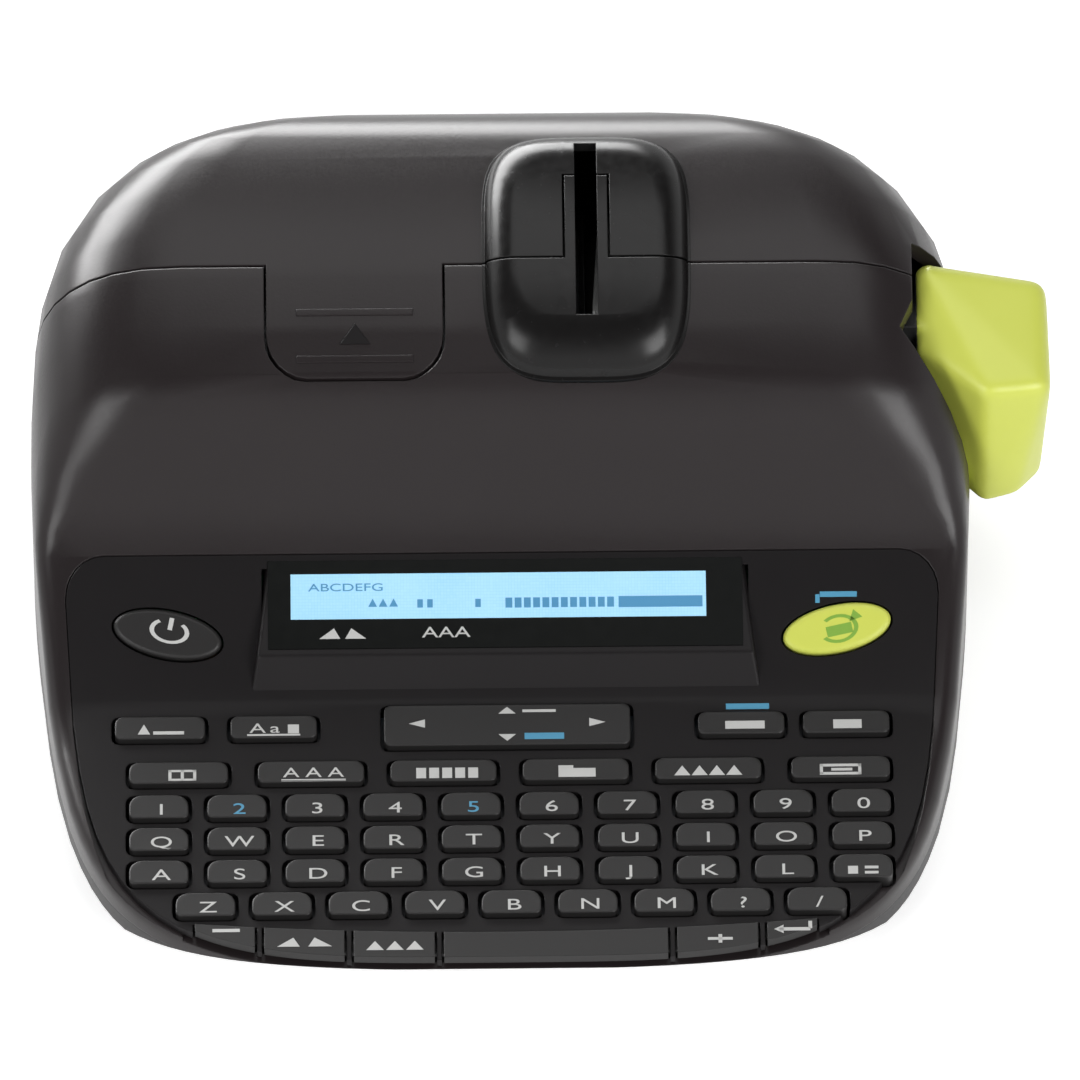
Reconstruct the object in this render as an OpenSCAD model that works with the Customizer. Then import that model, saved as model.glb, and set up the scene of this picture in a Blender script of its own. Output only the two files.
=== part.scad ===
// Desktop label printer: keyboard deck, domed tape housing, raised tape exit
// and a side lever that works the cutter.
// X runs to the right, Y to the back, Z up. The machine stands on Z = 0.

/* [Case] */
// Width of the case at its widest
case_w = 153; // [150:1:166]
// Run of the tape housing from its foot to the back wall
housing_run = 73; // [72:1:80]
// Height of the housing's crest above the desk
crest_z = 66; // [65:0.5:70]
// Height where the steep housing front meets the dome
brow_z = 56; // [55.5:0.5:58]
// Run of the steep housing front
rise_run = 18; // [16:0.5:19]
// Radius of the roll from the dome to the back wall
roll_r = 14.5; // [11:0.5:16]
// Length of level crest ahead of the back roll
crest_flat = 3; // [2:0.5:5]
// Width of the housing's rounded shoulder
shoulder_w = 24; // [22:1:28]
// Height of the housing's rounded shoulder
shoulder_h = 24; // [20:1:26]
// Radius of the edges beside the deck
edge_r = 3.5; // [2:0.25:4]
// Depth of the rounded front of the plan
front_curve = 67.5; // [66:0.5:69]
// Fullness of the rounded front of the plan
front_power = 3.7; // [3.5:0.1:3.9]
// Depth of the rounded back of the plan
back_curve = 60; // [57:0.5:62]
// Fullness of the rounded back of the plan
back_power = 3.4; // [3.2:0.1:3.6]
// Share of the width that the case loses towards its front
front_taper = 0.061; // [0.05:0.001:0.065]
// Thickness of the moulded walls
wall = 2.2; // [1.8:0.1:2.4]
// Thickness of the case floor
floor_t = 2; // [1.8:0.1:2.2]
// Height of the joint between lower and upper case
parting_z = 11; // [10:0.25:11.5]
// Height of the front edge's underside
chin_z = 13.4; // [13:0.1:13.6]
// Slope of the undercut below the front edge
undercut = 38.5; // [37:0.5:41]

/* [Deck] */
// Run of the keyboard deck
deck_run = 51.2; // [50.5:0.5:56]
// Height of the deck's front edge
deck_front_z = 15; // [14.8:0.1:17]
// Tilt of the keyboard deck
deck_tilt = 5.8; // [5:0.2:8]
// Run of the display slope
display_run = 20.6; // [20:0.2:24]
// Tilt of the display slope
display_tilt = 29.8; // [27:0.2:32]
// Thickness of the front panel
panel_t = 1.5; // [1.2:0.1:1.7]
// Width of the case arms beside the panel
panel_inset = 5; // [4:0.25:7]
// Corner radius of the panel's upper corners
panel_corner = 6.5; // [4:0.5:9]
// Thickness of the ledge that carries the panel
ledge_t = 1.7; // [1.4:0.1:2]
// Width of the ledge that carries the panel
ledge_w = 1.2; // [1:0.1:1.5]

/* [Display] */
// Width of the display bezel
bezel_w = 83; // [80:1:90]
// Distance from the bezel's foot to its front lip, along the slope
bezel_lip = 6.9; // [5:0.1:8]
// Height of the bezel's front lip over the slope
bezel_rise = 2.75; // [2:0.05:3.5]
// Width of the bezel's frame beside the window
bezel_side = 3; // [2.5:0.1:4]
// Thickness of the display window
window_t = 1.2; // [0.8:0.1:1.3]
// Width of the lit display
lcd_w = 67.5; // [60:0.5:69]
// Height of the lit display
lcd_h = 8.1; // [7:0.1:8.3]

/* [Keys] */
// Pitch of the letter columns
key_pitch = 12.6; // [12:0.1:12.8]
// Pitch of the letter rows
row_pitch = 6.3; // [6.1:0.05:6.5]
// Width of a letter key
key_w = 10; // [8.5:0.1:10.4]
// Depth of a letter key
key_d = 4.7; // [4:0.1:4.8]
// Height of the keys over the panel
key_rise = 1; // [0.6:0.05:1.4]
// Travel of the keys
key_travel = 0.8; // [0.5:0.05:0.85]
// Gap round each key
key_gap = 0.35; // [0.25:0.05:0.4]
// Thickness of the web or flange that retains a key
web_t = 0.7; // [0.5:0.05:0.8]
// Width of the power and print buttons
button_w = 17.8; // [16:0.2:19]
// Depth of the power and print buttons
button_d = 7.8; // [7:0.2:9]
// Distance of the power and print buttons from the middle
button_x = 54.3; // [53.5:0.1:56]
// Width of the cursor pad
pad_w = 40.3; // [36:0.1:42]
// Depth of the cursor pad
pad_d = 8.2; // [7:0.1:8.6]
// Depth of the front keys
front_key_d = 5.3; // [4.8:0.1:5.4]

/* [Tape exit] */
// Distance of the tape line from the middle
tape_x = 14.2; // [13:0.1:15]
// Width of the exit hood
hood_w = 33; // [30:0.5:36]
// Length of the exit hood
hood_len = 41.5; // [39:0.5:43]
// Height of the hood over the dome
hood_rise = 4.4; // [3:0.1:6]
// Inward lean of the hood's sides
hood_lean = 4.7; // [3:0.1:6]
// Width of the tape slot
slot_w = 3.6; // [2.4:0.1:3.8]
// Length of the tape slot
slot_len = 31; // [28:0.5:33]

/* [Rear cover] */
// Distance of the cover's seam from the housing foot
seam_y = 35; // [34:0.5:37]
// Gap along the cover's seam
seam_gap = 0.4; // [0.3:0.05:0.6]
// Height of the cover's lower edge
cover_z = 20; // [19:0.5:22]
// Width of the latch tab
tab_w = 28.6; // [24:0.2:32]
// Reach of the latch tab ahead of the seam
tab_reach = 17.5; // [12:0.5:18]
// Distance of the hinge knuckles from the middle
hinge_x = 24; // [20:0.5:27]
// Radius of the hinge pin
hinge_pin_r = 1.2; // [1:0.05:1.4]
// Radius of the hinge knuckles
knuckle_r = 2.6; // [2.5:0.1:3]

/* [Cutter lever] */
// Reach of the lever beyond the case
lever_reach = 13.1; // [10:0.1:15]
// Depth of the lever inside the case outline
lever_depth = 8.9; // [8:0.1:10]
// Length of the lever
lever_len = 26; // [25:0.25:27]
// Radius of the lever's edges
lever_r = 2.5; // [1.5:0.1:3]
// Underside of the lever
lever_z = 25; // [24.5:0.25:25.5]
// Radius of the lever's pin
lever_pin_r = 1.5; // [1.2:0.05:1.6]
// Gap between the lever and the case round it
lever_gap = 0.5; // [0.4:0.05:0.7]

/* [Drive] */
// Module of the gears
gear_module = 0.8; // [0.78:0.01:0.82]
// Thickness of the gears
gear_t = 3; // [2.5:0.1:3.2]
// Radius of the platen roller
platen_r = 5; // [4.6:0.1:5.4]
// Radius of the platen shaft
shaft_r = 1.5; // [1.3:0.05:1.7]
// Radius of the feed motor
motor_r = 7.6; // [7:0.1:7.8]
// Length of the feed motor
motor_len = 17; // [14:0.5:20]
// Thickness of the chassis plate
plate_t = 2; // [1.6:0.1:2.4]
// Width of the tape cartridge along the tape
cartridge_d = 29; // [27:0.5:30]

/* [Power] */
// Radius of a battery cell
cell_r = 7.1; // [6.8:0.05:7.2]
// Length of a battery cell
cell_len = 50.2; // [49.5:0.1:50.6]
// Unlatching travel of the battery door
door_travel = 8; // [5:0.5:10]
// Radius of the power inlet's bore
inlet_r = 2.8; // [2.4:0.1:3]

/* [Feet] */
// Height of the feet below the case
stand_h = 2.5; // [2:0.1:3]
// Radius of a foot
foot_r = 5; // [4:0.25:6]
// Depth of a foot's pocket in the floor
foot_pocket = 0.6; // [0.4:0.1:0.8]

/* [Hidden] */
$fn = 32;

// Clearance between fixed pieces that fit together
fit = 0.15;
// Clearance of a turning shaft in its bore
running = 0.05;
// Least gap between pieces that pass each other
clear = 0.3;
// Reach of cutting solids past what they cut
past = 60;

// Main lines of the case, with Y = 0 at the foot of the housing
half_w = case_w / 2;
front_y = -(deck_run + display_run);
back_y = housing_run;
deck_end_y = -display_run;
deck_end_z = deck_front_z + deck_run * tan(deck_tilt);
foot_z = deck_end_z + display_run * tan(display_tilt);
deck_len = deck_run / cos(deck_tilt);
slope_len = display_run / cos(display_tilt);
crest_y = back_y - roll_r - crest_flat;
front_c = front_y + front_curve;
back_c = back_y - back_curve;
inner_floor = stand_h + floor_t;

// The whole machine is shifted so that its footprint is centred
hinge_y = back_y + 1.8;
hinge_z = cover_z + 1.2;
shift_x = -lever_reach / 2;
shift_y = -(front_y + hinge_y + knuckle_r) / 2;

module placed() {
    translate([shift_x, shift_y, 0])
        children();
}

// Profile and plan of the case

function ease(t) = t <= 0 ? 0 : t >= 1 ? 1 : t * t * (3 - 2 * t);

function mix(a, b, t) = a + (b - a) * t;

// Cubic from z0 to z1 over a run, with a slope at each end
function cubic(t, run, z0, z1, m0, m1) =
    (2 * t * t * t - 3 * t * t + 1) * z0 + (t * t * t - 2 * t * t + t) * run * m0
    + (3 * t * t - 2 * t * t * t) * z1 + (t * t * t - t * t) * run * m1;

dome_drop = crest_z - brow_z;
dome_run = crest_y - rise_run;

// Height of the case's top along its middle
function top_z(y) =
    y <= deck_end_y ? deck_front_z + (y - front_y) * tan(deck_tilt)
    : y <= 0 ? deck_end_z + (y - deck_end_y) * tan(display_tilt)
    : y <= rise_run ? cubic(y / rise_run, rise_run, foot_z, brow_z, tan(display_tilt), 2 * dome_drop / dome_run)
    : y <= crest_y ? crest_z - dome_drop * pow((crest_y - y) / dome_run, 2)
    : y <= back_y - roll_r ? crest_z
    : crest_z - roll_r + sqrt(max(0, roll_r * roll_r - pow(y - back_y + roll_r, 2)));

function top_slope(y) = (top_z(y + 0.1) - top_z(y - 0.1)) / 0.2;

// Height of the case's underside, undercut at the front
function under_z(y) = max(stand_h, chin_z - (y - front_y) * tan(undercut));

// How far the plan has narrowed at y, from 0 behind the housing's brow to 1 near the front
narrow_y0 = 20;
narrow_y1 = -54;
function narrowing(y) = ease((narrow_y0 - y) / (narrow_y0 - narrow_y1));

// Half width of the plan at y, inset by t
function plan_w(y, t) =
    y < front_c ?
        (half_w * (1 - front_taper * narrowing(y)) - t)
            * pow(max(0, 1 - pow((front_c - y) / (front_curve - t), front_power)), 1 / front_power)
    : y > back_c ?
        (half_w * (1 - front_taper * narrowing(y)) - t)
            * pow(max(0, 1 - pow((y - back_c) / (back_curve - t), back_power)), 1 / back_power)
    : half_w * (1 - front_taper * narrowing(y)) - t;

// Shoulder of the section at y, and its fullness
shoulder_power = 2.45;
function shoulder_a(y, t) = max(0.6, min(mix(edge_r, shoulder_w, ease(y / rise_run)) - t, 0.95 * plan_w(y, t)));
function shoulder_b(y, t) = max(0.6, mix(edge_r, shoulder_h, ease(y / rise_run)) - t);

// Height of the outer skin at a point of the plan
function skin_z(x, y) =
    let (a = shoulder_a(y, 0), b = shoulder_b(y, 0), u = (abs(x) - plan_w(y, 0) + a) / a)
    u <= 0 ? top_z(y) : top_z(y) - b * (1 - pow(max(0, 1 - pow(u, shoulder_power)), 1 / shoulder_power));

// Thickness of the top wall, measured upright
function top_wall(y, t) = t == 0 ? 0 : (y < 0 ? panel_t + ledge_t : t) * sqrt(1 + pow(top_slope(y), 2));

corner_steps = 8;

// Width and height of the slant under the side walls: a small one that grows towards the front
sole_r = 3;
sole_front = [10, 6];
function sole(y) = mix(sole_front, [sole_r, sole_r], ease((y + 55) / 60));

// Section of the case at y, inset by t, as points in X and Z
function section(y, t) =
    let (
        w = plan_w(y, t),
        zt = top_z(y) - top_wall(y, t),
        zb = under_z(y) + (t == 0 ? 0 : floor_t),
        high = zt - zb,
        a = shoulder_a(y, t),
        b = min(shoulder_b(y, t), 0.6 * high),
        c = min(sole(y)[0], 0.8 * w),
        h = min(sole(y)[1], 0.38 * high),
        e = 2 / shoulder_power,
        right = concat(
            [[w - c, zb], [w - 0.42 * c, zb + 0.5 * h], [w, zb + h]],
            [
                for (i = [0:corner_steps])
                    let (q = i * 90 / corner_steps) [w - a + a * pow(cos(q), e), zt - b + b * pow(sin(q), e)]
            ]
        )
    )
    concat(right, [for (i = [len(right) - 1:-1:0]) [-right[i].x, right[i].y]]);

// Places along Y where the case is sectioned, from the front to the back
function stations(t) = concat(
    [
        for (q = [88.5, 83, 78, 73.5, 69.5, 65.5, 61.5, 57.5, 53.5, 49.5, 45.5, 41.5, 37.5, 33.5, 29, 24, 18, 10])
            front_c - (front_curve - t) * pow(sin(q), 2 / front_power)
    ],
    [deck_end_y, front_c, 0],
    [for (i = [1:6]) rise_run * i / 6],
    [for (i = [1:5]) mix(rise_run, crest_y, i / 5)],
    [for (q = [42, 46, 50, 54, 58, 62, 66, 70, 74, 78, 82, 85.5, 88.5]) back_c + (back_curve - t) * pow(sin(q), 2 / back_power)]
);

module case_solid(t) {
    ys = stations(t);
    n = len(section(0, t));
    sides = [for (k = [0:n - 1]) [k, (k + 1) % n, n + (k + 1) % n, n + k]];
    ends = [[for (k = [n - 1:-1:0]) k], [for (k = [0:n - 1]) n + k]];
    for (i = [0:len(ys) - 2])
        hull()
            polyhedron(
                points = concat(
                    [for (p = section(ys[i], t)) [p.x, ys[i], p.y]],
                    [for (p = section(ys[i + 1], t)) [p.x, ys[i + 1], p.y]]
                ),
                faces = concat(sides, ends)
            );
}

// Frames and outlines that several pieces share

module on_deck() {
    translate([0, front_y, deck_front_z])
        rotate([deck_tilt, 0, 0])
            children();
}

module on_slope() {
    translate([0, deck_end_y, deck_end_z])
        rotate([display_tilt, 0, 0])
            children();
}

// Extrudes an outline drawn in Y and Z from x0 to x1
module along_x(x0, x1) {
    translate([x0, 0, 0])
        rotate([90, 0, 90])
            linear_extrude(x1 - x0)
                children();
}

// Extrudes an outline drawn in X and Z from y0 to y1
module along_y(y0, y1) {
    translate([0, y1, 0])
        rotate([90, 0, 0])
            linear_extrude(y1 - y0)
                children();
}

module block(x0, x1, y0, y1, z0, z1) {
    translate([x0, y0, z0])
        cube([x1 - x0, y1 - y0, z1 - z0]);
}

module rod_x(x0, x1, y, z, r) {
    translate([x0, y, z])
        rotate([0, 90, 0])
            cylinder(r = r, h = x1 - x0);
}

module rod_y(y0, y1, x, z, r) {
    translate([x, y0, z])
        rotate([-90, 0, 0])
            cylinder(r = r, h = y1 - y0);
}

module rod_z(z0, z1, x, y, r) {
    translate([x, y, z0])
        cylinder(r = r, h = z1 - z0);
}

// Rounded rectangle round the origin
function round_box(w, d, r) = [
    for (c = [[1, 1, 0], [-1, 1, 90], [-1, -1, 180], [1, -1, 270]])
        for (q = [0, 30, 60, 90])
            [c.x * (w / 2 - r) + r * cos(c.z + q), c.y * (d / 2 - r) + r * sin(c.z + q)]
];

function oval(w, d) = [for (q = [0:9:351]) [w / 2 * cos(q), d / 2 * sin(q)]];

// Half width and depth of the panel's plan
panel_half = half_w - panel_inset;
panel_curve = front_curve - 0.6;
panel_power = front_power + 0.2;
panel_taper = 0.59 * front_taper;

// Plan of the panel, inset at the sides and the top by cs and at the front by cf
function panel_plan(cs, cf) =
    let (
        w = panel_half - cs,
        d = panel_curve - cf,
        r = panel_corner,
        right = concat(
            [for (q = [90:-15:0]) [w - r + r * cos(q), -cs - r + r * sin(q)]],
            [for (q = [6:6:84]) [w * pow(cos(q), 2 / panel_power), front_c - d * pow(sin(q), 2 / panel_power)]]
        ),
        drawn = [for (p = right) [p.x * (1 - panel_taper * narrowing(p.y)), p.y]]
    )
    concat(drawn, [for (i = [len(drawn) - 1:-1:0]) [-drawn[i].x, drawn[i].y]]);

// Corner between the undersides of the two panel slopes, t below them
function panel_knee(t) =
    let (n1 = [-sin(deck_tilt), cos(deck_tilt)], n2 = [-sin(display_tilt), cos(display_tilt)])
    [deck_end_y, deck_end_z] - t * (n1 + n2) / (1 + n1 * n2);

// Profile of the panel's underside in Y and Z, from back to front
function panel_underside() =
    let (n1 = [-sin(deck_tilt), cos(deck_tilt)], n2 = [-sin(display_tilt), cos(display_tilt)])
    [
        [4, foot_z + 4 * tan(display_tilt)] - panel_t * n2,
        panel_knee(panel_t),
        [front_y - 4, deck_front_z - 4 * tan(deck_tilt)] - panel_t * n1
    ];

// Profile of the panel's top in Y and Z, from front to back
function panel_topside() = [
    [front_y - 4, deck_front_z - 4 * tan(deck_tilt)], [deck_end_y, deck_end_z], [4, foot_z + 4 * tan(display_tilt)]
];

// Layout of the keyboard, as distances up the deck from its front edge

// Share of the width it was laid out for that the case has, which all that lies across the panel follows
across = case_w / 153;
column_pitch = key_pitch * across;
cap_w = key_w * across;
pad_span = pad_w * across;
button_out = button_x * across;
button_span = button_w * across;
bezel_span = bezel_w * across;
bezel_lap = 2;
window_span = bezel_span - 2 * bezel_side;
lcd_span = lcd_w * across;

lower_row_s = 11.3;
home_row_s = lower_row_s + row_pitch;
letter_row_s = home_row_s + row_pitch;
number_row_s = letter_row_s + row_pitch;
wide_row_s = number_row_s + row_pitch + 0.2;
upper_row_s = deck_len - 6;
layout_x = 0.9;
lower_pitch = (key_pitch - clear) * across;

function row_xs(count, pitch) = [for (i = [0:count - 1]) layout_x + (i - (count - 1) / 2) * pitch];

// Middle, width and depth of the keys that stand alone
upper_places = [[-55.6, 15], [-37.2, 14.4], [38.5, 14.4], [55.5, 14.4]];
upper_keys = [for (k = upper_places) across * k];
wide_pitch = (10 * key_pitch + 2.4) / 6;
wide_key_w = wide_pitch - 3.8;
end_key_w = wide_key_w - 1.2;
wide_keys = [for (i = [0:5]) across * [layout_x + (i - 2.5) * wide_pitch, i == 0 || i == 5 ? end_key_w : wide_key_w]];
upper_key_d = 4.6;
wide_key_d = 4.4;
pad_x = 0.6;

// Ends of the front keys in X, and the part of them that has room for a stem
front_places = [[-50, -40.4], [-38.9, -26], [-24.5, -11.5], [-10, 26], [27.5, 40.5], [42, 50]];
front_keys = [for (k = front_places) across * k];
front_stem_x = 43.5;
front_stem = front_stem_x * across;

// Front edge of the panel at x
function panel_front(x) =
    front_c - panel_curve * pow(1 - pow(abs(x) / panel_half / (1 - panel_taper), panel_power), 1 / panel_power);

// Back edge of the front keys at x
function front_key_back(x) = front_y + clear + front_key_d + 2 * min(1, pow(x / front_keys[5][1], 2));

// Outline in plan between d0 behind the front edge and d1 behind the keys' back edge
function front_band(x0, x1, d0, d1) = concat(
    [for (i = [0:8]) let (x = mix(x0, x1, i / 8)) [x, panel_front(x) + d0]],
    [for (i = [8:-1:0]) let (x = mix(x0, x1, i / 8)) [x, front_key_back(x) + d1]]
);

// Levels of the key stack, down from the top of the panel
web_top = -panel_t - clear;
web_low = web_top - web_t;
mat_top = web_low - key_travel - 0.2;
mat_t = 0.8;
board_top = mat_top - mat_t;
board_t = 1.2;
front_cap_low = -1;
front_ledge = 2.7;

// One key with its retaining flange, in the frame of its slope
module key_body(outline, flange, x, s) {
    translate([x, s, 0]) {
        translate([0, 0, web_low])
            linear_extrude(web_t)
                polygon(flange);
        translate([0, 0, web_low])
            linear_extrude(key_rise - web_low)
                polygon(outline);
    }
}

module key_hole(outline, x, s, low) {
    translate([x, s, low])
        linear_extrude(past - low)
            polygon(outline);
}

flange_reach = 0.8;

module single_key(x, s, w, d) {
    color("#2c2a2b")
        on_deck()
            key_body(round_box(w, d, 1), round_box(w + 2 * flange_reach, d + flange_reach, 1), x, s);
}

// A row of keys moulded on one web
module key_row(xs, s) {
    last = len(xs) - 1;
    color("#2c2a2b")
        on_deck() {
            for (x = xs)
                translate([x, s, web_low])
                    linear_extrude(key_rise - web_low)
                        polygon(round_box(cap_w, key_d, 1.4));
            block(xs[0] - cap_w / 2 + 4, xs[last] + cap_w / 2 - 4,
                s - key_d / 2 - flange_reach / 2, s + key_d / 2 + flange_reach / 2, web_low, web_top);
        }
}

// A front key: its cap reaches the front edge and its flange lies behind
module front_key(i) {
    k = front_keys[i];
    s0 = max(k[0], -front_stem);
    s1 = min(k[1], front_stem);
    color("#2c2a2b") {
        key_layer(front_band(k[0], k[1], clear, 0), front_cap_low, key_rise * 0.6);
        key_layer(front_band(s0, s1, front_ledge, 0), web_low, front_cap_low + 0.1);
        key_layer(front_band(s0 - 0.3, s1 + 0.3, front_ledge, 0.5), web_low, web_top);
    }
}

// The part of the deck's thickness between two levels, inside an outline in plan
module key_layer(outline, low, high) {
    intersection() {
        linear_extrude(past)
            polygon(outline);
        on_deck()
            block(-case_w, case_w, -past, past, low, high);
    }
}

// Tape exit hood and the seam that parts it

hood_c = rise_run - 0.8 + hood_len / 2;
hood_skirt = 3.1;
slot_y0 = seam_y - 11;
tongue_w = 6.9;
tongue_reach = 13;

// One section of the hood: half width and rise follow a rounded plan
function hood_section(q, c) =
    let (
        u = sin(q) * pow(abs(sin(q)) + 0.0001, -0.5),
        y = hood_c + (hood_len / 2 + c) * u,
        hw = (hood_w / 2) * pow(cos(q), 0.5) + c,
        rise = hood_rise * pow(cos(q), 0.25),
        lean = hood_lean * hw * 2 / hood_w
    )
    [y, hw, rise, lean];

hood_turns = [-81, -68, -50, -30, 0, 30, 50, 68, 81];

module hood_solid() {
    difference() {
        hull()
            for (q = hood_turns) {
                h = hood_section(q, 0);
                z = top_z(h[0]);
                translate([tape_x, h[0], 0])
                    rotate([90, 0, 0])
                        linear_extrude(0.01)
                            polygon([
                                [-h[1], z - hood_skirt], [h[1], z - hood_skirt], [h[1], z + 0.4],
                                [h[1] - 0.45 * h[3], z + 0.72 * h[2]], [h[1] - 0.75 * h[3], z + 0.93 * h[2]],
                                [h[1] - h[3], z + h[2]], [-h[1] + h[3], z + h[2]],
                                [-h[1] + 0.75 * h[3], z + 0.93 * h[2]], [-h[1] + 0.45 * h[3], z + 0.72 * h[2]],
                                [-h[1], z + 0.4]
                            ]);
            }
        along_x(tape_x - hood_w, tape_x + hood_w)
            polygon(concat(
                [for (i = [0:8]) let (y = rise_run - 2 + (hood_len + 4) * i / 8) [y, top_z(y) - hood_skirt]],
                [[back_y, brow_z - past], [0, brow_z - past]]
            ));
        block(tape_x - slot_w / 2, tape_x + slot_w / 2, slot_y0, slot_y0 + slot_len, brow_z - past, crest_z + past);
    }
}

// Opening for the hood in the shells
module hood_opening() {
    linear_extrude(past * 2)
        polygon(concat(
            [for (q = hood_turns) let (h = hood_section(q, fit)) [tape_x + h[1], h[0]]],
            [for (i = [len(hood_turns) - 1:-1:0]) let (h = hood_section(hood_turns[i], fit)) [tape_x - h[1], h[0]]]
        ));
}

// Everything ahead of the hood's slanting parting, moved back by g
module hood_front_side(g) {
    along_x(tape_x - hood_w, tape_x + hood_w)
        polygon([
            [seam_y - 2.2 - past * 0.8 + g, top_z(seam_y) + hood_rise + past],
            [seam_y - 2.2 + g, top_z(seam_y) + hood_rise],
            [seam_y + g, top_z(seam_y)],
            [seam_y + g, 0],
            [0, 0],
            [seam_y - past, top_z(seam_y) + hood_rise + past]
        ]);
}

module hood_tongue(g) {
    block(tape_x - tongue_w / 2 - g, tape_x + tongue_w / 2 + g, 0, seam_y + tongue_reach + g, 0, 2 * past);
}

// Rear cover and its latch tab

tab_x = -23.5;
tab_corner = 6.5;

// Plan of the latch tab, grown by g
module tab_plan(g) {
    r = tab_corner;
    y0 = seam_y - tab_reach - g;
    polygon(concat(
        [[tab_x + tab_w / 2 + g, seam_y + 1], [tab_x - tab_w / 2 - g, seam_y + 1]],
        [for (q = [180:15:270]) [tab_x - tab_w / 2 - g + r + r * cos(q), y0 + r + r * sin(q)]],
        [for (q = [270:15:360]) [tab_x + tab_w / 2 + g - r + r * cos(q), y0 + r + r * sin(q)]]
    ));
}

// Region of the rear cover
module cover_region() {
    block(-case_w, case_w, seam_y + seam_gap, 2 * past + seam_y, cover_z, 2 * past);
    translate([0, 0, brow_z - 12])
        linear_extrude(past)
            tab_plan(0);
}

// Lever outline in plan, anticlockwise from its back inner corner
lever_x0 = half_w - lever_depth;
lever_x1 = half_w + lever_reach;
lever_back = seam_y + 6;
lever_front = lever_back - lever_len;
lever_knee = lever_back - 15;
lever_nose = half_w + 0.4;
pivot = [half_w - 6.5, lever_front - 4];
lever_turn = 10;

// Height of the lever's top edge where it meets the case
function lever_top(x, y) = skin_z(min(x, half_w - 1.5), y) - 1.28 * wall - clear;

// Corners of the lever's top
lever_tops = [
    [lever_x0, lever_back, lever_top(lever_x0, lever_back)],
    [lever_x1 - 0.3, lever_back - 0.6, lever_top(lever_x0, lever_back) - 3.4],
    [lever_x0, lever_knee, lever_top(lever_x0, lever_knee) - 1.8],
    [lever_x1, lever_front + 4.2, lever_top(lever_x0, lever_knee) - 3.2],
    [lever_nose, lever_front + 3, lever_top(lever_x0, lever_knee) - 2.8]
];

// Front corners of its underside
lever_toes = [[lever_nose, lever_front], [lever_x1 - 4, lever_front + 1.2], [lever_x1 - 0.8, lever_front + 5]];
lever_mid = [lever_x0 + 11, lever_back - 14];

// Corner of the lever drawn in by its edge radius
function drawn_in(p) = [
    p.x + lever_r * (p.x < lever_mid.x ? 1 : -1),
    p.y + lever_r * (p.y < lever_mid.y ? 1 : -1)
];

// Plan of the opening for the lever in the right side of the shells, drawn in by t
function lever_plan(t) =
    let (g = lever_gap - t)
    [
        [lever_x0 - g, lever_back + g], [lever_x0 - g, lever_knee + 5],
        [lever_x0 - g - 2.2, lever_knee - 0.2], [lever_nose - g - 0.4, lever_front - g - 0.4],
        [lever_x1 + past, lever_front - g - 0.4], [lever_x1 + past, lever_back + 2.2 - t],
        [half_w, lever_back + 2.2 - t]
    ];

// Floor of the lever's opening
lever_sill = lever_z - 2;

module lever_opening(low) {
    translate([0, 0, low])
        linear_extrude(past + lever_z - low)
            polygon(lever_plan(0));
    block(pivot.x + 2.9, half_w - 1.9, pivot.y - 4, lever_front + 2, max(low, lever_z - 1), lever_z + 10);
}

// Mechanism layout: a chassis plate across the case with gears on its front

chassis_y = seam_y - 13;
gear_y = chassis_y - 0.5 - gear_t;
works_y0 = chassis_y + plate_t + 2;
works_y1 = works_y0 + cartridge_d;
cutter_z = brow_z - 2.4;
platen = [tape_x + platen_r, cutter_z - 9.6];
pinion_teeth = 10;
idler_teeth = 24;
platen_teeth = 20;
ribbon_teeth = 24;
chassis_low = 21;
chassis_high = brow_z - 4;
chassis_side = 8.3;
chassis_half = cell_len + chassis_side;
chassis_ear = chassis_half + 4.5;

function pitch_r(teeth) = gear_module * teeth / 2;
function gear_reach(a, b) = pitch_r(a) + pitch_r(b);

// Directions from one gear's axis to the next, in degrees in X and Z
to_idler = 218.9;
to_ribbon = 155.4;
to_pinion = 338.5;
idler = platen + gear_reach(platen_teeth, idler_teeth) * [cos(to_idler), sin(to_idler)];
ribbon = idler + gear_reach(idler_teeth, ribbon_teeth) * [cos(to_ribbon), sin(to_ribbon)];
pinion = idler + gear_reach(idler_teeth, pinion_teeth) * [cos(to_pinion), sin(to_pinion)];

// Turn of a gear of b teeth so that it meshes with one of a teeth turned by turn_a
function mesh_turn(a, b, turn_a, toward) = toward + 180 - (180 - a * (toward - turn_a)) / b;

idler_turn = mesh_turn(platen_teeth, idler_teeth, 0, to_idler);
ribbon_turn = mesh_turn(idler_teeth, ribbon_teeth, idler_turn, to_ribbon);
pinion_turn = mesh_turn(idler_teeth, pinion_teeth, idler_turn, to_pinion);

// Involute tooth: half its angle at radius r
backlash = 0.28;
function involute(q) = tan(q) * 180 / PI - q;
function tooth_half(teeth, r) =
    let (p = pitch_r(teeth), base = p * cos(20), q = r > base ? acos(base / r) : 0)
    90 / teeth - backlash / 2 / p * 180 / PI + involute(20) - involute(q);

function tooth_radii(teeth) =
    let (p = pitch_r(teeth)) [for (i = [0:3]) mix(p - 1.2 * gear_module, p + 0.95 * gear_module, i / 3)];

function gear_outline(teeth) = [
    for (i = [0:teeth - 1])
        for (side = [-1, 1])
            for (r = side < 0 ? tooth_radii(teeth) : [for (k = [3:-1:0]) tooth_radii(teeth)[k]])
                let (q = 360 * i / teeth + side * tooth_half(teeth, r))
                [r * cos(q), r * sin(q)]
];

module gear(at, teeth, turn, bore) {
    difference() {
        translate([at.x, gear_y + gear_t, at.y])
            rotate([90, 0, 0])
                linear_extrude(gear_t)
                    rotate(turn)
                        polygon(gear_outline(teeth));
        rod_y(gear_y - 1, gear_y + gear_t + 1, at.x, at.y, bore);
    }
}

spindle_r = 3;
spindle_bore = 16;
idler_pin_r = 1.5;
chassis_foot = 5;
motor_shaft_r = 1;

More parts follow.
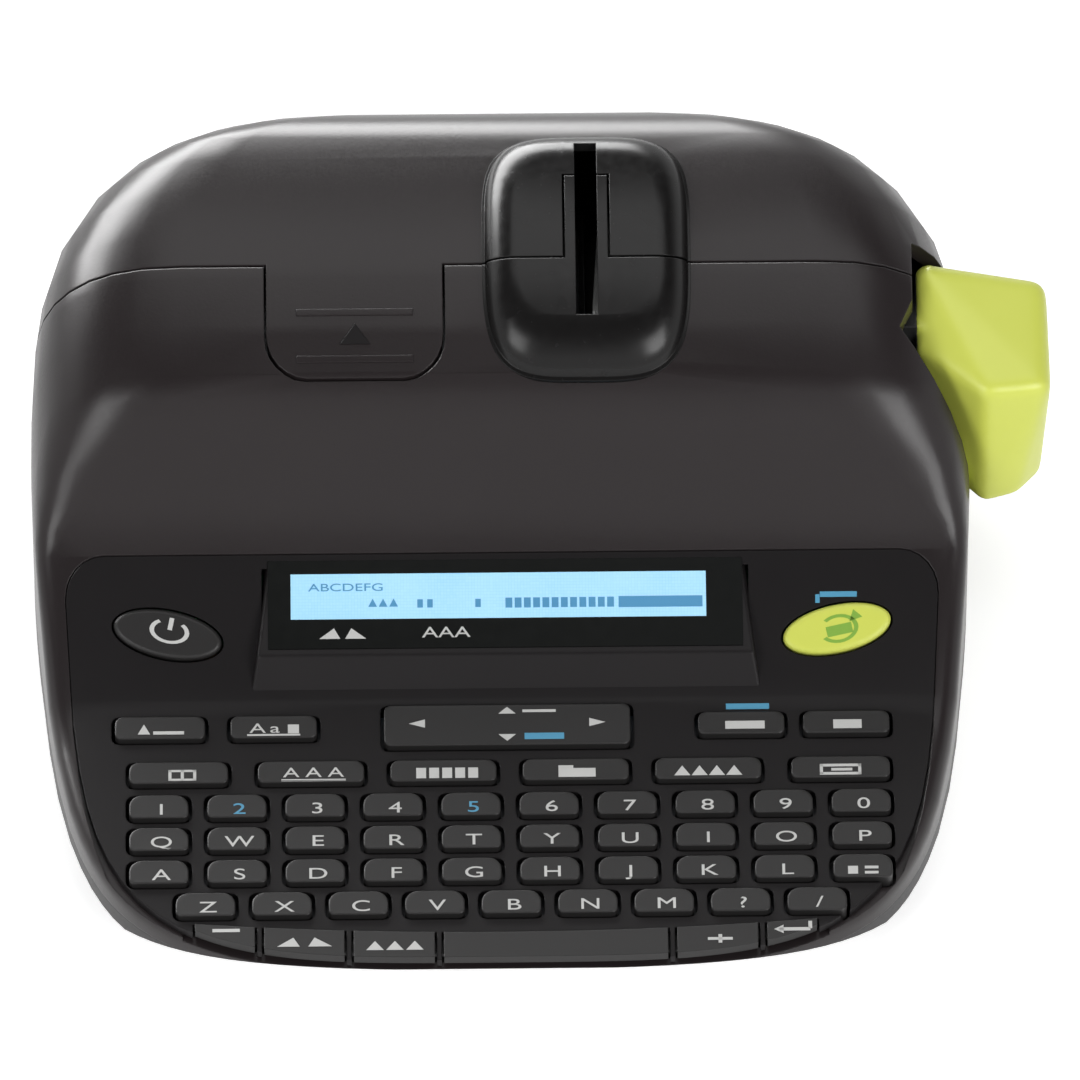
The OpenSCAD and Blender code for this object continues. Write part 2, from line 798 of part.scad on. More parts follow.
// Cutter slide: a bar pushed by the lever, with the blade on its inner end
slide_y0 = lever_back - 10;
slide_y1 = slide_y0 + 6;
slide_z0 = cutter_z - 3.6;
slide_x0 = tape_x + 12.3;
lever_pad_x = lever_x0 - 3.2;
slide_x1 = lever_pad_x - clear;
shelf_x0 = slide_x0 + 7.5;
shelf_x1 = slide_x1 - 6;
blade_t = 1;
slide_t = 2.4;
blade_seat_w = 5;
blade_margin = 3;
spring_y = slide_y0 - 3.2;
spring_z = slide_z0 + 1.9;
spring_x0 = shelf_x0 + 2;
spring_x1 = spring_x0 + 11.8;
spring_r = 1.5;
spring_wire = 0.5;

// Battery bay under the mechanism
bay_y0 = deck_end_y + 2.1;
cell_pitch = 2 * cell_r + 1.3;
bay_len = 2 * cell_pitch + 2 * cell_r;
cell_z = inner_floor + clear + cell_r;
bay_half = cell_len + 2.3;
door_y0 = bay_y0 - 1.5;
door_y1 = bay_y0 + bay_len + 1.5;

foot_spots = [[-half_w + 24, deck_end_y - 20], [half_w - 24, deck_end_y - 20],
    [-half_w + 19, back_y - 19], [half_w - 19, back_y - 19]];
screw_spots = [[-half_w + 10.8, deck_end_y + 8], [half_w - 10.8, deck_end_y + 8],
    [-half_w + 11.8, 3.5], [half_w - 11.8, 3.5]];
screw_r = 1.2;
screw_boss_r = 3.2;
screw_head_r = 2.6;
screw_head_t = 1.6;
screw_top = parting_z + 4;
inlet_back = 29;
inlet_y = back_y - inlet_back;
inlet_z = stand_h + 8.5;
inlet_half = 4.5;
inlet_nose_r = 4;

// Case shells

module case_skin() {
    difference() {
        case_solid(0);
        case_solid(wall);
    }
}

// A block drawn at both ends of the case, from x0 out to x1
module both_ends(x0, x1, y0, y1, z0, z1) {
    block(x0, x1, y0, y1, z0, z1);
    block(-x1, -x0, y0, y1, z0, z1);
}

// Posts, walls and rails that stand on the case floor
module floor_posts() {
    for (p = screw_spots)
        rod_z(stand_h, parting_z, p.x, p.y, screw_boss_r);
    rod_z(stand_h, lever_z + 2 - clear, pivot.x, pivot.y, 3.3);
    both_ends(chassis_half + 0.3, chassis_ear + 0.2, chassis_y - 2, chassis_y + plate_t + 6, stand_h, chassis_low);
    both_ends(bay_half + 0.1, bay_half + 1.8, bay_y0, bay_y0 + bay_len, inner_floor + 2, cell_z + 4);
    both_ends(bay_half + 1.7, bay_half + 6, bay_y0, bay_y0 + bay_len, inner_floor + 2, inner_floor + 3.2);
    both_ends(bay_half + 4.6, bay_half + 6, bay_y0, bay_y0 + bay_len, stand_h, inner_floor + 3.2);
    block(-bay_half - 1, bay_half + 1, door_y0 - door_travel - 2, door_y0 - 0.8, inner_floor + clear, inner_floor + 2);
    block(-bay_half - 1, bay_half + 1, door_y0 - door_travel - 2, door_y0 - door_travel - 0.8, stand_h, inner_floor + 2);
    difference() {
        union() {
            both_ends(38, 42, deck_end_y - 34, deck_end_y - 30, stand_h, 2 * parting_z);
            both_ends(38, 42, deck_end_y - 9, deck_end_y - 5, inner_floor + 1.5, 2 * parting_z);
        }
        on_deck()
            block(-past, past, -past, deck_len, board_top - board_t, past);
    }
}

module lower_case() {
    color("#343233")
        difference() {
            union() {
                difference() {
                    case_skin();
                    block(-case_w, case_w, -2 * past, seam_y + seam_gap, parting_z, 2 * past);
                    block(-case_w, case_w, seam_y - past, 2 * past, cover_z, 2 * past);
                }
                intersection() {
                    case_solid(0.1);
                    floor_posts();
                }
                intersection() {
                    case_skin();
                    block(0, case_w, seam_y + seam_gap, back_y, cover_z - 1, lever_sill);
                    linear_extrude(past)
                        polygon(lever_plan(seam_gap));
                }
                for (sx = [-1, 1])
                    for (side = [-1, 1]) {
                        x = sx * hinge_x + side * 7.3;
                        rod_x(x - 2.5, x + 2.5, hinge_y, hinge_z, knuckle_r);
                        along_x(x - 2.5, x + 2.5)
                            polygon([
                                [back_y - wall, hinge_z - 10], [hinge_y + 1, hinge_z - 2.2], [hinge_y, hinge_z - 1.3],
                                [back_y - wall, hinge_z - 1.3]
                            ]);
                    }
            }
            block(-bay_half, bay_half, door_y0, door_y1, -1, inner_floor + 1);
            block(-bay_half, bay_half, door_y0 - door_travel - clear, door_y0 + 1, -1, inner_floor + clear);
            for (p = screw_spots) {
                rod_z(-1, 2 * past, p.x, p.y, screw_r + fit);
                rod_z(-1, stand_h + screw_head_t, p.x, p.y, screw_head_r + fit);
            }
            rod_z(inner_floor + 6, 2 * past, pivot.x, pivot.y, lever_pin_r + running);
            for (p = foot_spots)
                rod_z(-1, stand_h + foot_pocket, p.x, p.y, foot_r + fit);
            for (sx = [-1, 1]) {
                rod_x(sx * hinge_x - 11, sx * hinge_x + 11, hinge_y, hinge_z, hinge_pin_r + running);
                rod_x(sx * hinge_x - 4.9, sx * hinge_x + 4.9, hinge_y, hinge_z, knuckle_r + 0.4);
            }
            rod_x(-half_w - 1, -half_w + 12, inlet_y, inlet_z, inlet_nose_r + fit);
        }
}

// Screw bosses of the upper case, each with a rib to the side wall
module upper_bosses() {
    for (p = screw_spots) {
        rod_z(parting_z, screw_top + 1, p.x, p.y, screw_boss_r);
        block(min(p.x, sign(p.x) * half_w), max(p.x, sign(p.x) * half_w), p.y - 1, p.y + 1, parting_z, screw_top + 1);
    }
}

module upper_case() {
    color("#3b3838")
        difference() {
            union() {
                difference() {
                    case_skin();
                    linear_extrude(past)
                        polygon(panel_plan(ledge_w, ledge_w));
                }
                intersection() {
                    case_solid(0.1);
                    upper_bosses();
                }
            }
            block(-case_w, case_w, -2 * past, 2 * past, -past, parting_z);
            block(-case_w, case_w, seam_y, 2 * past, -past, 2 * past);
            translate([0, 0, brow_z - 12])
                linear_extrude(past)
                    tab_plan(seam_gap);
            hood_opening();
            lever_opening(lever_sill);
            intersection() {
                along_x(-case_w, case_w)
                    polygon(concat(panel_underside(), [[front_y - 4, past], [4, past]]));
                linear_extrude(2 * past)
                    polygon(panel_plan(-fit, -4));
            }
            key_layer(front_band(front_keys[0][0] - 2, front_keys[5][1] + 2, -4, 1),
                front_cap_low - key_travel - clear, past);
            on_deck()
                row_holes(-4.5);
            for (p = screw_spots)
                rod_z(-1, screw_top + 0.5, p.x, p.y, screw_r + fit);
        }
}

module rear_cover() {
    color("#403c3e")
        difference() {
            union() {
                intersection() {
                    case_skin();
                    cover_region();
                }
                for (sx = [-1, 1]) {
                    rod_x(sx * hinge_x - 4.5, sx * hinge_x + 4.5, hinge_y, hinge_z, knuckle_r);
                    along_x(sx * hinge_x - 4.5, sx * hinge_x + 4.5)
                        polygon([
                            [back_y - wall, hinge_z + 1.3], [hinge_y, hinge_z + 1.3], [hinge_y + 1, hinge_z + 2.2],
                            [back_y - wall, hinge_z + 9]
                        ]);
                }
            }
            block(-case_w, case_w, -past, 2 * past, -past, cover_z + 0.35);
            hood_opening();
            lever_opening(0);
            for (sx = [-1, 1]) {
                rod_x(sx * hinge_x - 11, sx * hinge_x + 11, hinge_y, hinge_z, hinge_pin_r + clear);
                for (side = [-1, 1])
                    rod_x(sx * hinge_x + side * 7.5 - 2.95, sx * hinge_x + side * 7.5 + 2.95, hinge_y, hinge_z,
                        knuckle_r + 0.4);
            }
        }
}

hinge_pin_half = 9.8;

module hinge_pins() {
    color("silver")
        for (sx = [-1, 1])
            rod_x(sx * hinge_x - hinge_pin_half, sx * hinge_x + hinge_pin_half, hinge_y, hinge_z, hinge_pin_r);
}

module feet() {
    color("#1d1c1c")
        for (p = foot_spots)
            rod_z(0, stand_h + foot_pocket, p.x, p.y, foot_r);
}

module case_screws() {
    color("silver")
        for (p = screw_spots) {
            rod_z(stand_h, stand_h + screw_head_t, p.x, p.y, screw_head_r);
            rod_z(stand_h + screw_head_t - 0.1, screw_top, p.x, p.y, screw_r);
        }
}

// Front panel, display and keys

bezel_x = 0.5;
bezel_hole_s0 = 4.7;
bezel_hole_s1 = slope_len - 2.3;
bezel_end = slope_len - 0.4;
bezel_fall = atan(bezel_rise / (bezel_end - bezel_lip));
button_s = 10.7;
button_lean = 12;

module panel_solid() {
    intersection() {
        along_x(-case_w, case_w)
            polygon(concat(panel_topside(), panel_underside()));
        linear_extrude(past)
            polygon(panel_plan(0, 0));
    }
}

// Holes for the rows of small keys, from a level below the panel's top
module row_holes(low) {
    for (x = row_xs(10, column_pitch))
        for (s = [home_row_s, letter_row_s, number_row_s])
            key_hole(round_box(cap_w + 2 * key_gap, key_d + 2 * key_gap, 1.4), x, s, low);
    for (x = row_xs(9, lower_pitch))
        key_hole(round_box(cap_w + 2 * key_gap, key_d + 2 * key_gap, 1.4), x, lower_row_s, low);
}

module front_panel() {
    color("#242223")
        difference() {
            panel_solid();
            on_deck() {
                row_holes(-past);
                for (k = wide_keys)
                    key_hole(round_box(k[1] + 2 * key_gap, wide_key_d + 2 * key_gap, 1.2), k[0], wide_row_s, -past);
                for (k = upper_keys)
                    key_hole(round_box(k[1] + 2 * key_gap, upper_key_d + 2 * key_gap, 1.2), k[0], upper_row_s, -past);
                key_hole(round_box(pad_span + 2 * key_gap, pad_d + 2 * key_gap, 1.2), pad_x, upper_row_s, -past);
            }
            on_slope() {
                for (sx = [-1, 1])
                    translate([sx * button_out, button_s, -past / 2])
                        rotate(sx * button_lean)
                            linear_extrude(past)
                                polygon(oval(button_span + 2 * key_gap, button_d + 2 * key_gap));
                block(bezel_x - bezel_span / 2 + bezel_lap, bezel_x + bezel_span / 2 - bezel_lap, bezel_hole_s0, bezel_hole_s1,
                    -past, past);
            }
            for (k = front_keys)
                linear_extrude(past)
                    polygon(front_band(k[0] - key_gap, k[1] + key_gap, -1, key_gap));
        }
}

// Frame along the bezel's top face, from its front lip down the fall
module on_bezel() {
    on_slope()
        translate([bezel_x, bezel_lip, bezel_rise])
            rotate([-bezel_fall, 0, 0])
                children();
}

bezel_face = (bezel_end - bezel_lip) / cos(bezel_fall);
window_s0 = 0.8;
window_s1 = bezel_face - 2.6;
lcd_s0 = window_s1 - 0.86 - lcd_h;
lcd_x = -1.1;

module display_bezel() {
    color("#2b292a")
        difference() {
            on_slope() {
                translate([bezel_x - bezel_span / 2, 0, 0])
                    rotate([90, 0, 90])
                        linear_extrude(bezel_span)
                            polygon([[0.3, 0], [bezel_lip - 1, bezel_rise], [bezel_lip, bezel_rise], [bezel_end, 0]]);
                block(bezel_x - bezel_span / 2 + bezel_lap + fit, bezel_x + bezel_span / 2 - bezel_lap - fit, bezel_hole_s0 + fit,
                    bezel_hole_s1 - fit, -panel_t, 0.1);
            }
            on_bezel() {
                block(-window_span / 2 - fit, window_span / 2 + fit, window_s0 - fit, window_s1 + fit, -window_t, past);
                block(lcd_x - lcd_span / 2, lcd_x + lcd_span / 2, lcd_s0, lcd_s0 + lcd_h, -past, past);
            }
        }
}

module display_window() {
    color("#16181a")
        on_bezel()
            block(-window_span / 2, window_span / 2, window_s0, window_s1, -window_t, 0);
}

lcd_low = -4;

// The lit cell stands in the bezel's opening, close under the window, on its backlight
module lcd_module() {
    color("#a9e0fb") {
        on_slope()
            block(bezel_x + lcd_x - lcd_span / 2 - 2, bezel_x + lcd_x + lcd_span / 2 + 2, bezel_lip + lcd_s0 - 1,
                bezel_lip + lcd_s0 + lcd_h + 0.2, lcd_low, -panel_t);
        intersection() {
            on_bezel()
                block(lcd_x - lcd_span / 2 + fit, lcd_x + lcd_span / 2 - fit, lcd_s0 + fit, lcd_s0 + lcd_h - fit, -past,
                    -window_t - fit);
            on_slope()
                block(-past, past, 0, slope_len, -panel_t - 0.1, past);
        }
    }
}

module display_board() {
    color("#2f6b43")
        on_slope() {
            block(-button_out - 6, button_out + 6, button_s - 1.5, bezel_hole_s1 - 0.2, lcd_low - board_t, lcd_low);
            for (sx = [-1, 1])
                block(sx * button_out - 2.5, sx * button_out + 2.5, button_s - 1.2, button_s + 3, lcd_low - 0.1,
                    web_low - key_travel - 0.4);
        }
}

// Plan of the sheets under the keys, t inside the panel and from d behind its front edge
function sheet_plan(t, d) = panel_plan(t, d);

module key_mat() {
    color("#4a4a4d")
        intersection() {
            linear_extrude(past)
                polygon(sheet_plan(7, 4.2));
            on_deck()
                block(-case_w, case_w, 0, deck_len - 1.6, mat_top - mat_t, mat_top);
        }
}

module main_board() {
    color("#2f6b43")
        intersection() {
            linear_extrude(past)
                polygon(sheet_plan(7.5, 7));
            on_deck()
                block(-case_w, case_w, 0, deck_len - 1.6, board_top - board_t, board_top);
        }
}

module oval_button(side, tint) {
    color(tint)
        on_slope()
            translate([side * button_out, button_s, 0])
                rotate(side * button_lean) {
                    translate([0, 0, web_low])
                        linear_extrude(web_t)
                            polygon(oval(button_span + 2 * flange_reach, button_d + 2 * flange_reach));
                    translate([0, 0, web_low])
                        linear_extrude(key_rise - web_low)
                            polygon(oval(button_span, button_d));
                }
}

module power_button() {
    oval_button(-1, "#1f1d1e");
}

module print_button() {
    oval_button(1, "#d9e256");
}

module cursor_pad() {
    single_key(pad_x, upper_row_s, pad_span, pad_d);
}

module upper_key(i) {
    single_key(upper_keys[i][0], upper_row_s, upper_keys[i][1], upper_key_d);
}

module wide_key(i) {
    single_key(wide_keys[i][0], wide_row_s, wide_keys[i][1], wide_key_d);
}

module number_row() {
    key_row(row_xs(10, column_pitch), number_row_s);
}

module upper_letter_row() {
    key_row(row_xs(10, column_pitch), letter_row_s);
}

module home_letter_row() {
    key_row(row_xs(10, column_pitch), home_row_s);
}

module lower_letter_row() {
    key_row(row_xs(9, lower_pitch), lower_row_s);
}

// Tape exit

module exit_hood_front() {
    color("#4b4a4b")
        intersection() {
            hood_solid();
            union() {
                hood_front_side(0);
                hood_tongue(0);
            }
        }
}

module exit_hood_rear() {
    color("#4b4a4b")
        difference() {
            hood_solid();
            hood_front_side(seam_gap);
            hood_tongue(seam_gap);
        }
}

// Tape drive

module chassis_plate() {
    color("#b9bcc0")
        difference() {
            union() {
                block(-chassis_half, chassis_half, chassis_y, chassis_y + plate_t, chassis_low, chassis_high);
                both_ends(chassis_half - 2, chassis_ear, chassis_y, chassis_y + plate_t + chassis_foot, chassis_low, chassis_low + 2);
                block(shelf_x0, shelf_x1, chassis_y + plate_t - 0.5, slide_y1 + 2, slide_z0 - clear - 2, slide_z0 - clear);
                block(shelf_x0, shelf_x0 + 2, spring_y - 2, spring_y + 2, slide_z0 - clear - 0.5, spring_z + 2);
                rod_y(gear_y, chassis_y + 0.5, idler.x, idler.y, idler_pin_r);
            }
            rod_y(0, past, platen.x, platen.y, shaft_r + running);
            rod_y(0, past, ribbon.x, ribbon.y, spindle_r + running);
            rod_y(chassis_y - 1, past, pinion.x, pinion.y, motor_shaft_r + 1);
        }
}

head_t = 3.7;
head_half = 6;

module print_head() {
    color("#8e9094")
        block(tape_x - head_t, tape_x - clear, chassis_y + plate_t, works_y1 - 1, platen.y - head_half, platen.y + head_half);
}

module fixed_blade() {
    color("#d5d8da")
        along_y(chassis_y + plate_t, works_y1)
            polygon([
                [tape_x - 1.2, platen.y + head_half], [tape_x - clear, platen.y + head_half], [tape_x - clear, cutter_z - clear],
                [tape_x - 1.2, cutter_z - clear - 0.6]
            ]);
}

motor_y = chassis_y + plate_t;

module feed_motor() {
    color("#9b9da1")
        difference() {
            union() {
                rod_y(motor_y, motor_y + motor_len, pinion.x, pinion.y, motor_r);
                rod_y(motor_y + motor_len - 0.5, motor_y + motor_len + 1.2, pinion.x, pinion.y, motor_r * 0.4);
            }
            rod_y(motor_y - 1, motor_y + 8, pinion.x, pinion.y, motor_shaft_r + running);
        }
}

module motor_pinion() {
    color("#e3dcc4") {
        gear(pinion, pinion_teeth, pinion_turn, motor_shaft_r / 2);
        rod_y(gear_y - 0.5, motor_y + 7.5, pinion.x, pinion.y, motor_shaft_r);
    }
}

module platen_roller() {
    color("#2a2a2a")
        difference() {
            rod_y(works_y0, works_y1 - 1, platen.x, platen.y, platen_r);
            rod_y(works_y0 - 1, works_y1, platen.x, platen.y, shaft_r);
        }
}

module platen_shaft() {
    color("silver")
        rod_y(gear_y - 0.5, works_y1, platen.x, platen.y, shaft_r);
}

module platen_gear() {
    color("#e3dcc4")
        gear(platen, platen_teeth, 0, shaft_r);
}

module idler_gear() {
    color("#e3dcc4")
        gear(idler, idler_teeth, idler_turn, idler_pin_r + running);
}

module ribbon_gear() {
    color("#e3dcc4")
        gear(ribbon, ribbon_teeth, ribbon_turn, spindle_r);
}

module ribbon_spindle() {
    color("#c9c4b4") {
        rod_y(gear_y - 0.5, works_y0 + 12, ribbon.x, ribbon.y, spindle_r);
        for (q = [0, 60, 120])
            translate([ribbon.x, works_y0 + 2, ribbon.y])
                rotate([-90, 0, 0])
                    rotate(q)
                        translate([-spindle_r - 0.5, -0.5, 0])
                            cube([2 * spindle_r + 1, 1, 10]);
    }
}

cartridge_x0 = -52;
cartridge_x1 = tape_x - 6.2;
cartridge_z0 = inner_floor + 2 * cell_r + 2;
cartridge_z1 = cutter_z + 0.4;

cartridge_corner = 4;

module tape_cartridge() {
    color("#55575b")
        difference() {
            translate([(cartridge_x0 + cartridge_x1) / 2, works_y1, (cartridge_z0 + cartridge_z1) / 2])
                rotate([90, 0, 0])
                    linear_extrude(works_y1 - motor_y)
                        polygon(round_box(cartridge_x1 - cartridge_x0, cartridge_z1 - cartridge_z0, cartridge_corner));
            rod_y(motor_y - 1, works_y0 + spindle_bore, ribbon.x, ribbon.y, spindle_r + 1.2);
        }
}

// Cutter

module cutter_slide() {
    color("#d0d2d6") {
        block(slide_x0, slide_x1, slide_y0, slide_y1, slide_z0, slide_z0 + slide_t);
        block(slide_x0, slide_x0 + blade_seat_w, works_y0 + 2, works_y1 - blade_margin, slide_z0 + slide_t / 2, cutter_z);
        block(spring_x1, spring_x1 + 2, spring_y - 2, slide_y0 + 0.5, slide_z0, spring_z + 2);
    }
}

module moving_blade() {
    color("#e4e6e8")
        translate([0, 0, cutter_z])
            linear_extrude(blade_t)
                polygon([
                    [tape_x + 0.6, works_y0], [slide_x0 + 5, works_y0], [slide_x0 + 5, works_y1 - 1],
                    [tape_x + 2.2, works_y1 - 1]
                ]);
}

spring_turns = 7;
spring_rings = 12;

// Ring of the spring's wire at step i, with the last step closing a full run
function spring_ring(i) =
    let (
        q = 360 * i / spring_rings,
        x = mix(spring_x0 + 0.5, spring_x1 - 0.5, i / (spring_turns * spring_rings))
    )
    [for (k = [0:5]) let (r = spring_r + spring_wire / 2 * cos(60 * k))
        [x + spring_wire / 2 * sin(60 * k), spring_y + r * cos(q), spring_z + r * sin(q)]];

module cutter_spring() {
    n = spring_turns * spring_rings;
    color("silver")
        polyhedron(
            points = [for (i = [0:n]) each spring_ring(i)],
            faces = concat(
                [[0, 1, 2], [0, 2, 3], [0, 3, 4], [0, 4, 5]],
                [for (k = [1:4]) [n * 6, n * 6 + k + 1, n * 6 + k]],
                [for (i = [0:n - 1]) for (k = [0:5]) [i * 6 + k, i * 6 + 6 + k, i * 6 + (k + 1) % 6]],
                [for (i = [0:n - 1]) for (k = [0:5])
                    [i * 6 + (k + 1) % 6, i * 6 + 6 + k, i * 6 + 6 + (k + 1) % 6]]
            )
        );
}

module cutter_lever() {
    color("#cddc52")
        difference() {
            union() {
                hull() {
                    for (p = lever_tops) {
                        translate([drawn_in(p).x, drawn_in(p).y, p.z - lever_r])
                            sphere(lever_r, $fn = 20);
                        if (p.y > lever_front + 5)
                            translate([drawn_in(p).x, drawn_in(p).y, lever_z])
                                cylinder(r = lever_r - 0.5, h = 1, $fn = 20);
                    }
                    for (p = lever_toes)
                        translate([drawn_in(p).x, drawn_in(p).y, lever_z])
                            cylinder(r = lever_r - 0.5, h = 1, $fn = 20);
                }
                block(lever_pad_x, lever_x0 + 4, slide_y0 - 1, slide_y1, slide_z0 - 2, slide_z0 + 2.4);
                hull() {
                    rod_z(lever_z + 2, lever_z + 7.5, pivot.x, pivot.y, 3.2);
                    rod_z(lever_z + 2, lever_z + 7.5, pivot.x + 2.4, pivot.y + 11, 2.4);
                }
            }
            rod_z(0, lever_z + 20, pivot.x, pivot.y, lever_pin_r + running);
        }
}

module lever_pin() {
    color("silver")
        rod_z(inner_floor + 6, lever_z + 9, pivot.x, pivot.y, lever_pin_r);
}

// Power

module battery_cells() {
    color("#c48a3a")
        for (i = [0:2])
            for (sx = [-1, 1]) {
                y = bay_y0 + cell_r + i * cell_pitch;
                x0 = sx > 0 ? 0.3 : -0.3 - cell_len;
                tip = i % 2 == 0 ? 1 : -1;
                rod_x(tip > 0 ? x0 : x0 + 1.4, tip > 0 ? x0 + cell_len - 1.4 : x0 + cell_len, y, cell_z, cell_r);
                rod_x(tip > 0 ? x0 + cell_len - 1.5 : x0, tip > 0 ? x0 + cell_len : x0 + 1.5, y, cell_z, 2.7);
            }
}

contact_half_w = 4.5;
contact_half_h = 4;

module battery_contacts() {
    color("silver")
        for (i = [0:2]) {
                y = bay_y0 + cell_r + i * cell_pitch;
                both_ends(cell_len + 0.3, bay_half + 0.1, y - contact_half_w, y + contact_half_w, cell_z - contact_half_h,
                    cell_z + contact_half_h);
            }
}

module battery_door() {
    color("#343233")
        difference() {
            union() {
                block(-bay_half + clear, bay_half - clear, door_y0 + clear, door_y1 - clear, stand_h, inner_floor);
                both_ends(bay_half - 1.6, bay_half + 2.5, door_y0 + 12, door_y1 - 8, inner_floor + clear,
                    inner_floor + clear + 0.9);
                both_ends(bay_half - 1.6, bay_half - 0.4, door_y0 + 12, door_y1 - 8, inner_floor - 0.5,
                    inner_floor + clear + 0.5);
            }
            for (i = [0:4])
                block(-9, 9, door_y0 + 6 + 2.2 * i, door_y0 + 7 + 2.2 * i, stand_h - 1, stand_h + 0.6);
        }
}

module dc_inlet() {
    back_x = -plan_w(inlet_y + inlet_half, wall) + fit;
    color("#1b1b1b")
        difference() {
            union() {
                block(back_x + 3.4, -half_w + 16, inlet_y - inlet_half, inlet_y + inlet_half, inner_floor, inlet_z + inlet_half);
                rod_x(-plan_w(inlet_y + inlet_nose_r, 0) + 0.3, back_x + 4, inlet_y, inlet_z, inlet_nose_r);
            }
            rod_x(-half_w - 1, -half_w + 13, inlet_y, inlet_z, inlet_r);
        }
    color("silver")
        rod_x(-half_w + 5, -half_w + 13.5, inlet_y, inlet_z, 0.8);
}

// Assembly

placed() {
    lower_case();
    upper_case();
    front_panel();
    display_bezel();
    display_window();
    lcd_module();
    display_board();
    key_mat();
    main_board();
    chassis_plate();
    print_head();
    feed_motor();
    fixed_blade();
    exit_hood_front();
    tape_cartridge();
    battery_cells();
    battery_contacts();
    dc_inlet();
    feet();
    case_screws();
    lever_pin();
    hinge_pins();
    rear_cover();
    exit_hood_rear();
    battery_door();
    cutter_lever();
    cutter_slide();
    moving_blade();
    cutter_spring();
    platen_roller();
    platen_shaft();
    platen_gear();
    idler_gear();
    motor_pinion();
    ribbon_spindle();
    ribbon_gear();
    power_button();
    print_button();
    cursor_pad();
    for (i = [0:3])
        upper_key(i);
    for (i = [0:5])
        wide_key(i);
    number_row();
    upper_letter_row();
    home_letter_row();
    lower_letter_row();
    for (i = [0:5])
        front_key(i);
}
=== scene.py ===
import math
import bmesh
import bpy
from mathutils import Matrix, Vector


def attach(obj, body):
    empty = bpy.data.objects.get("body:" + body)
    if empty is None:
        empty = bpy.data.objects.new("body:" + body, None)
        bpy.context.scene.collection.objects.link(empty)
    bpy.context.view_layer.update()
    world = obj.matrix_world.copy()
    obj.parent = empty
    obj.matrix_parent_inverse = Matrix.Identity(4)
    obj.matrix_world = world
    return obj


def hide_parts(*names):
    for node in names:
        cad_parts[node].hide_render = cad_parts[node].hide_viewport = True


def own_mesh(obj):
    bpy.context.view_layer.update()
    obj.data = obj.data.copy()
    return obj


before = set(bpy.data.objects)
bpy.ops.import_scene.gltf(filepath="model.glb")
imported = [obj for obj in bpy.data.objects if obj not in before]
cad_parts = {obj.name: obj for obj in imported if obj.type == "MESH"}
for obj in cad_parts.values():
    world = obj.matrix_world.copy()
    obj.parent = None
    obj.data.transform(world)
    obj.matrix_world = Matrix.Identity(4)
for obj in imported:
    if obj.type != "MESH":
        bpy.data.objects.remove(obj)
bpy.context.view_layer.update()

# Studio: a white table, soft lamps and a long lens that looks down on the keyboard from straight ahead.
# The lamps stay at a plain level. What the camera and glossy faces see of the table and of the walls
# round it is lifted to white, under a dark ceiling.
MM = 0.001
SHIFT = Vector((-6.55, -2.8, 0)) * MM  # from the source's own axes to the shared frame
scene = bpy.context.scene
scene.view_settings.view_transform = "Standard"

ELEVATION, TURN, DISTANCE = math.radians(50), math.radians(-0.7), 3.0
PHOTO_PX, PX_PER_MM, SENSOR = 1080, 6.15, 36
CAMERA_AIM = Vector((6.3, 4.3, 30)) * MM + SHIFT
camera_data = bpy.data.cameras.new("camera")
camera_data.sensor_width = SENSOR
camera_data.lens = PX_PER_MM / MM * DISTANCE * SENSOR / PHOTO_PX
camera = bpy.data.objects.new("camera", camera_data)
scene.collection.objects.link(camera)
level_run = math.cos(ELEVATION)
sight = Vector((math.sin(TURN) * level_run, -math.cos(TURN) * level_run, math.sin(ELEVATION)))
camera.location = CAMERA_AIM + DISTANCE * sight
camera.rotation_euler = (math.pi / 2 - ELEVATION, 0, TURN)
scene.camera = camera


def linear(code):
    parts = [int(code[i:i + 2], 16) / 255 for i in (1, 3, 5)]
    return tuple(p / 12.92 if p <= 0.04045 else ((p + 0.055) / 1.055) ** 2.4 for p in parts) + (1,)


def add_node(tree, kind, settings=None, links=None):
    node = tree.nodes.new(kind)
    for key, value in (settings or {}).items():
        if isinstance(key, int) or key in node.inputs:
            node.inputs[key].default_value = value
        else:
            setattr(node, key, value)
    for socket, source in (links or {}).items():
        tree.links.new(source, node.inputs[socket])
    return node


def seen_rays(tree):
    ray = add_node(tree, "ShaderNodeLightPath").outputs
    mirrored = add_node(tree, "ShaderNodeMath", {"operation": "MAXIMUM"},
                        {0: ray["Is Glossy Ray"], 1: ray["Is Transmission Ray"]})
    return add_node(tree, "ShaderNodeMath", {"operation": "MAXIMUM"},
                    {0: ray["Is Camera Ray"], 1: mirrored.outputs[0]}).outputs[0]


FILL, WALL_WHITE, CEILING = 0.08, 1.0, 0.05
WALL_TOP, CEILING_EDGE = 0.35, 0.7  # sines of the heights between which the white wall fades out
world = bpy.data.worlds.new("studio")
world.use_nodes = True
sky = world.node_tree
sky.nodes.clear()
toward = add_node(sky, "ShaderNodeTexCoord")
upward = add_node(sky, "ShaderNodeSeparateXYZ", None, {"Vector": toward.outputs["Generated"]})
backdrop = add_node(sky, "ShaderNodeMapRange",
                    {"From Min": WALL_TOP, "From Max": CEILING_EDGE, "To Min": WALL_WHITE, "To Max": CEILING},
                    {"Value": upward.outputs[2]})
level = add_node(sky, "ShaderNodeMapRange", {"To Min": FILL},
                 {"Value": seen_rays(sky), "To Max": backdrop.outputs[0]})
glow = add_node(sky, "ShaderNodeBackground", {"Color": linear("#ffffff")}, {"Strength": level.outputs[0]})
add_node(sky, "ShaderNodeOutputWorld", None, {"Surface": glow.outputs[0]})
scene.world = world


def blank_material(name):
    material = bpy.data.materials.new(name)
    material.use_nodes = True
    tree = material.node_tree
    tree.nodes.clear()
    return material, tree, add_node(tree, "ShaderNodeTexCoord").outputs["Object"]


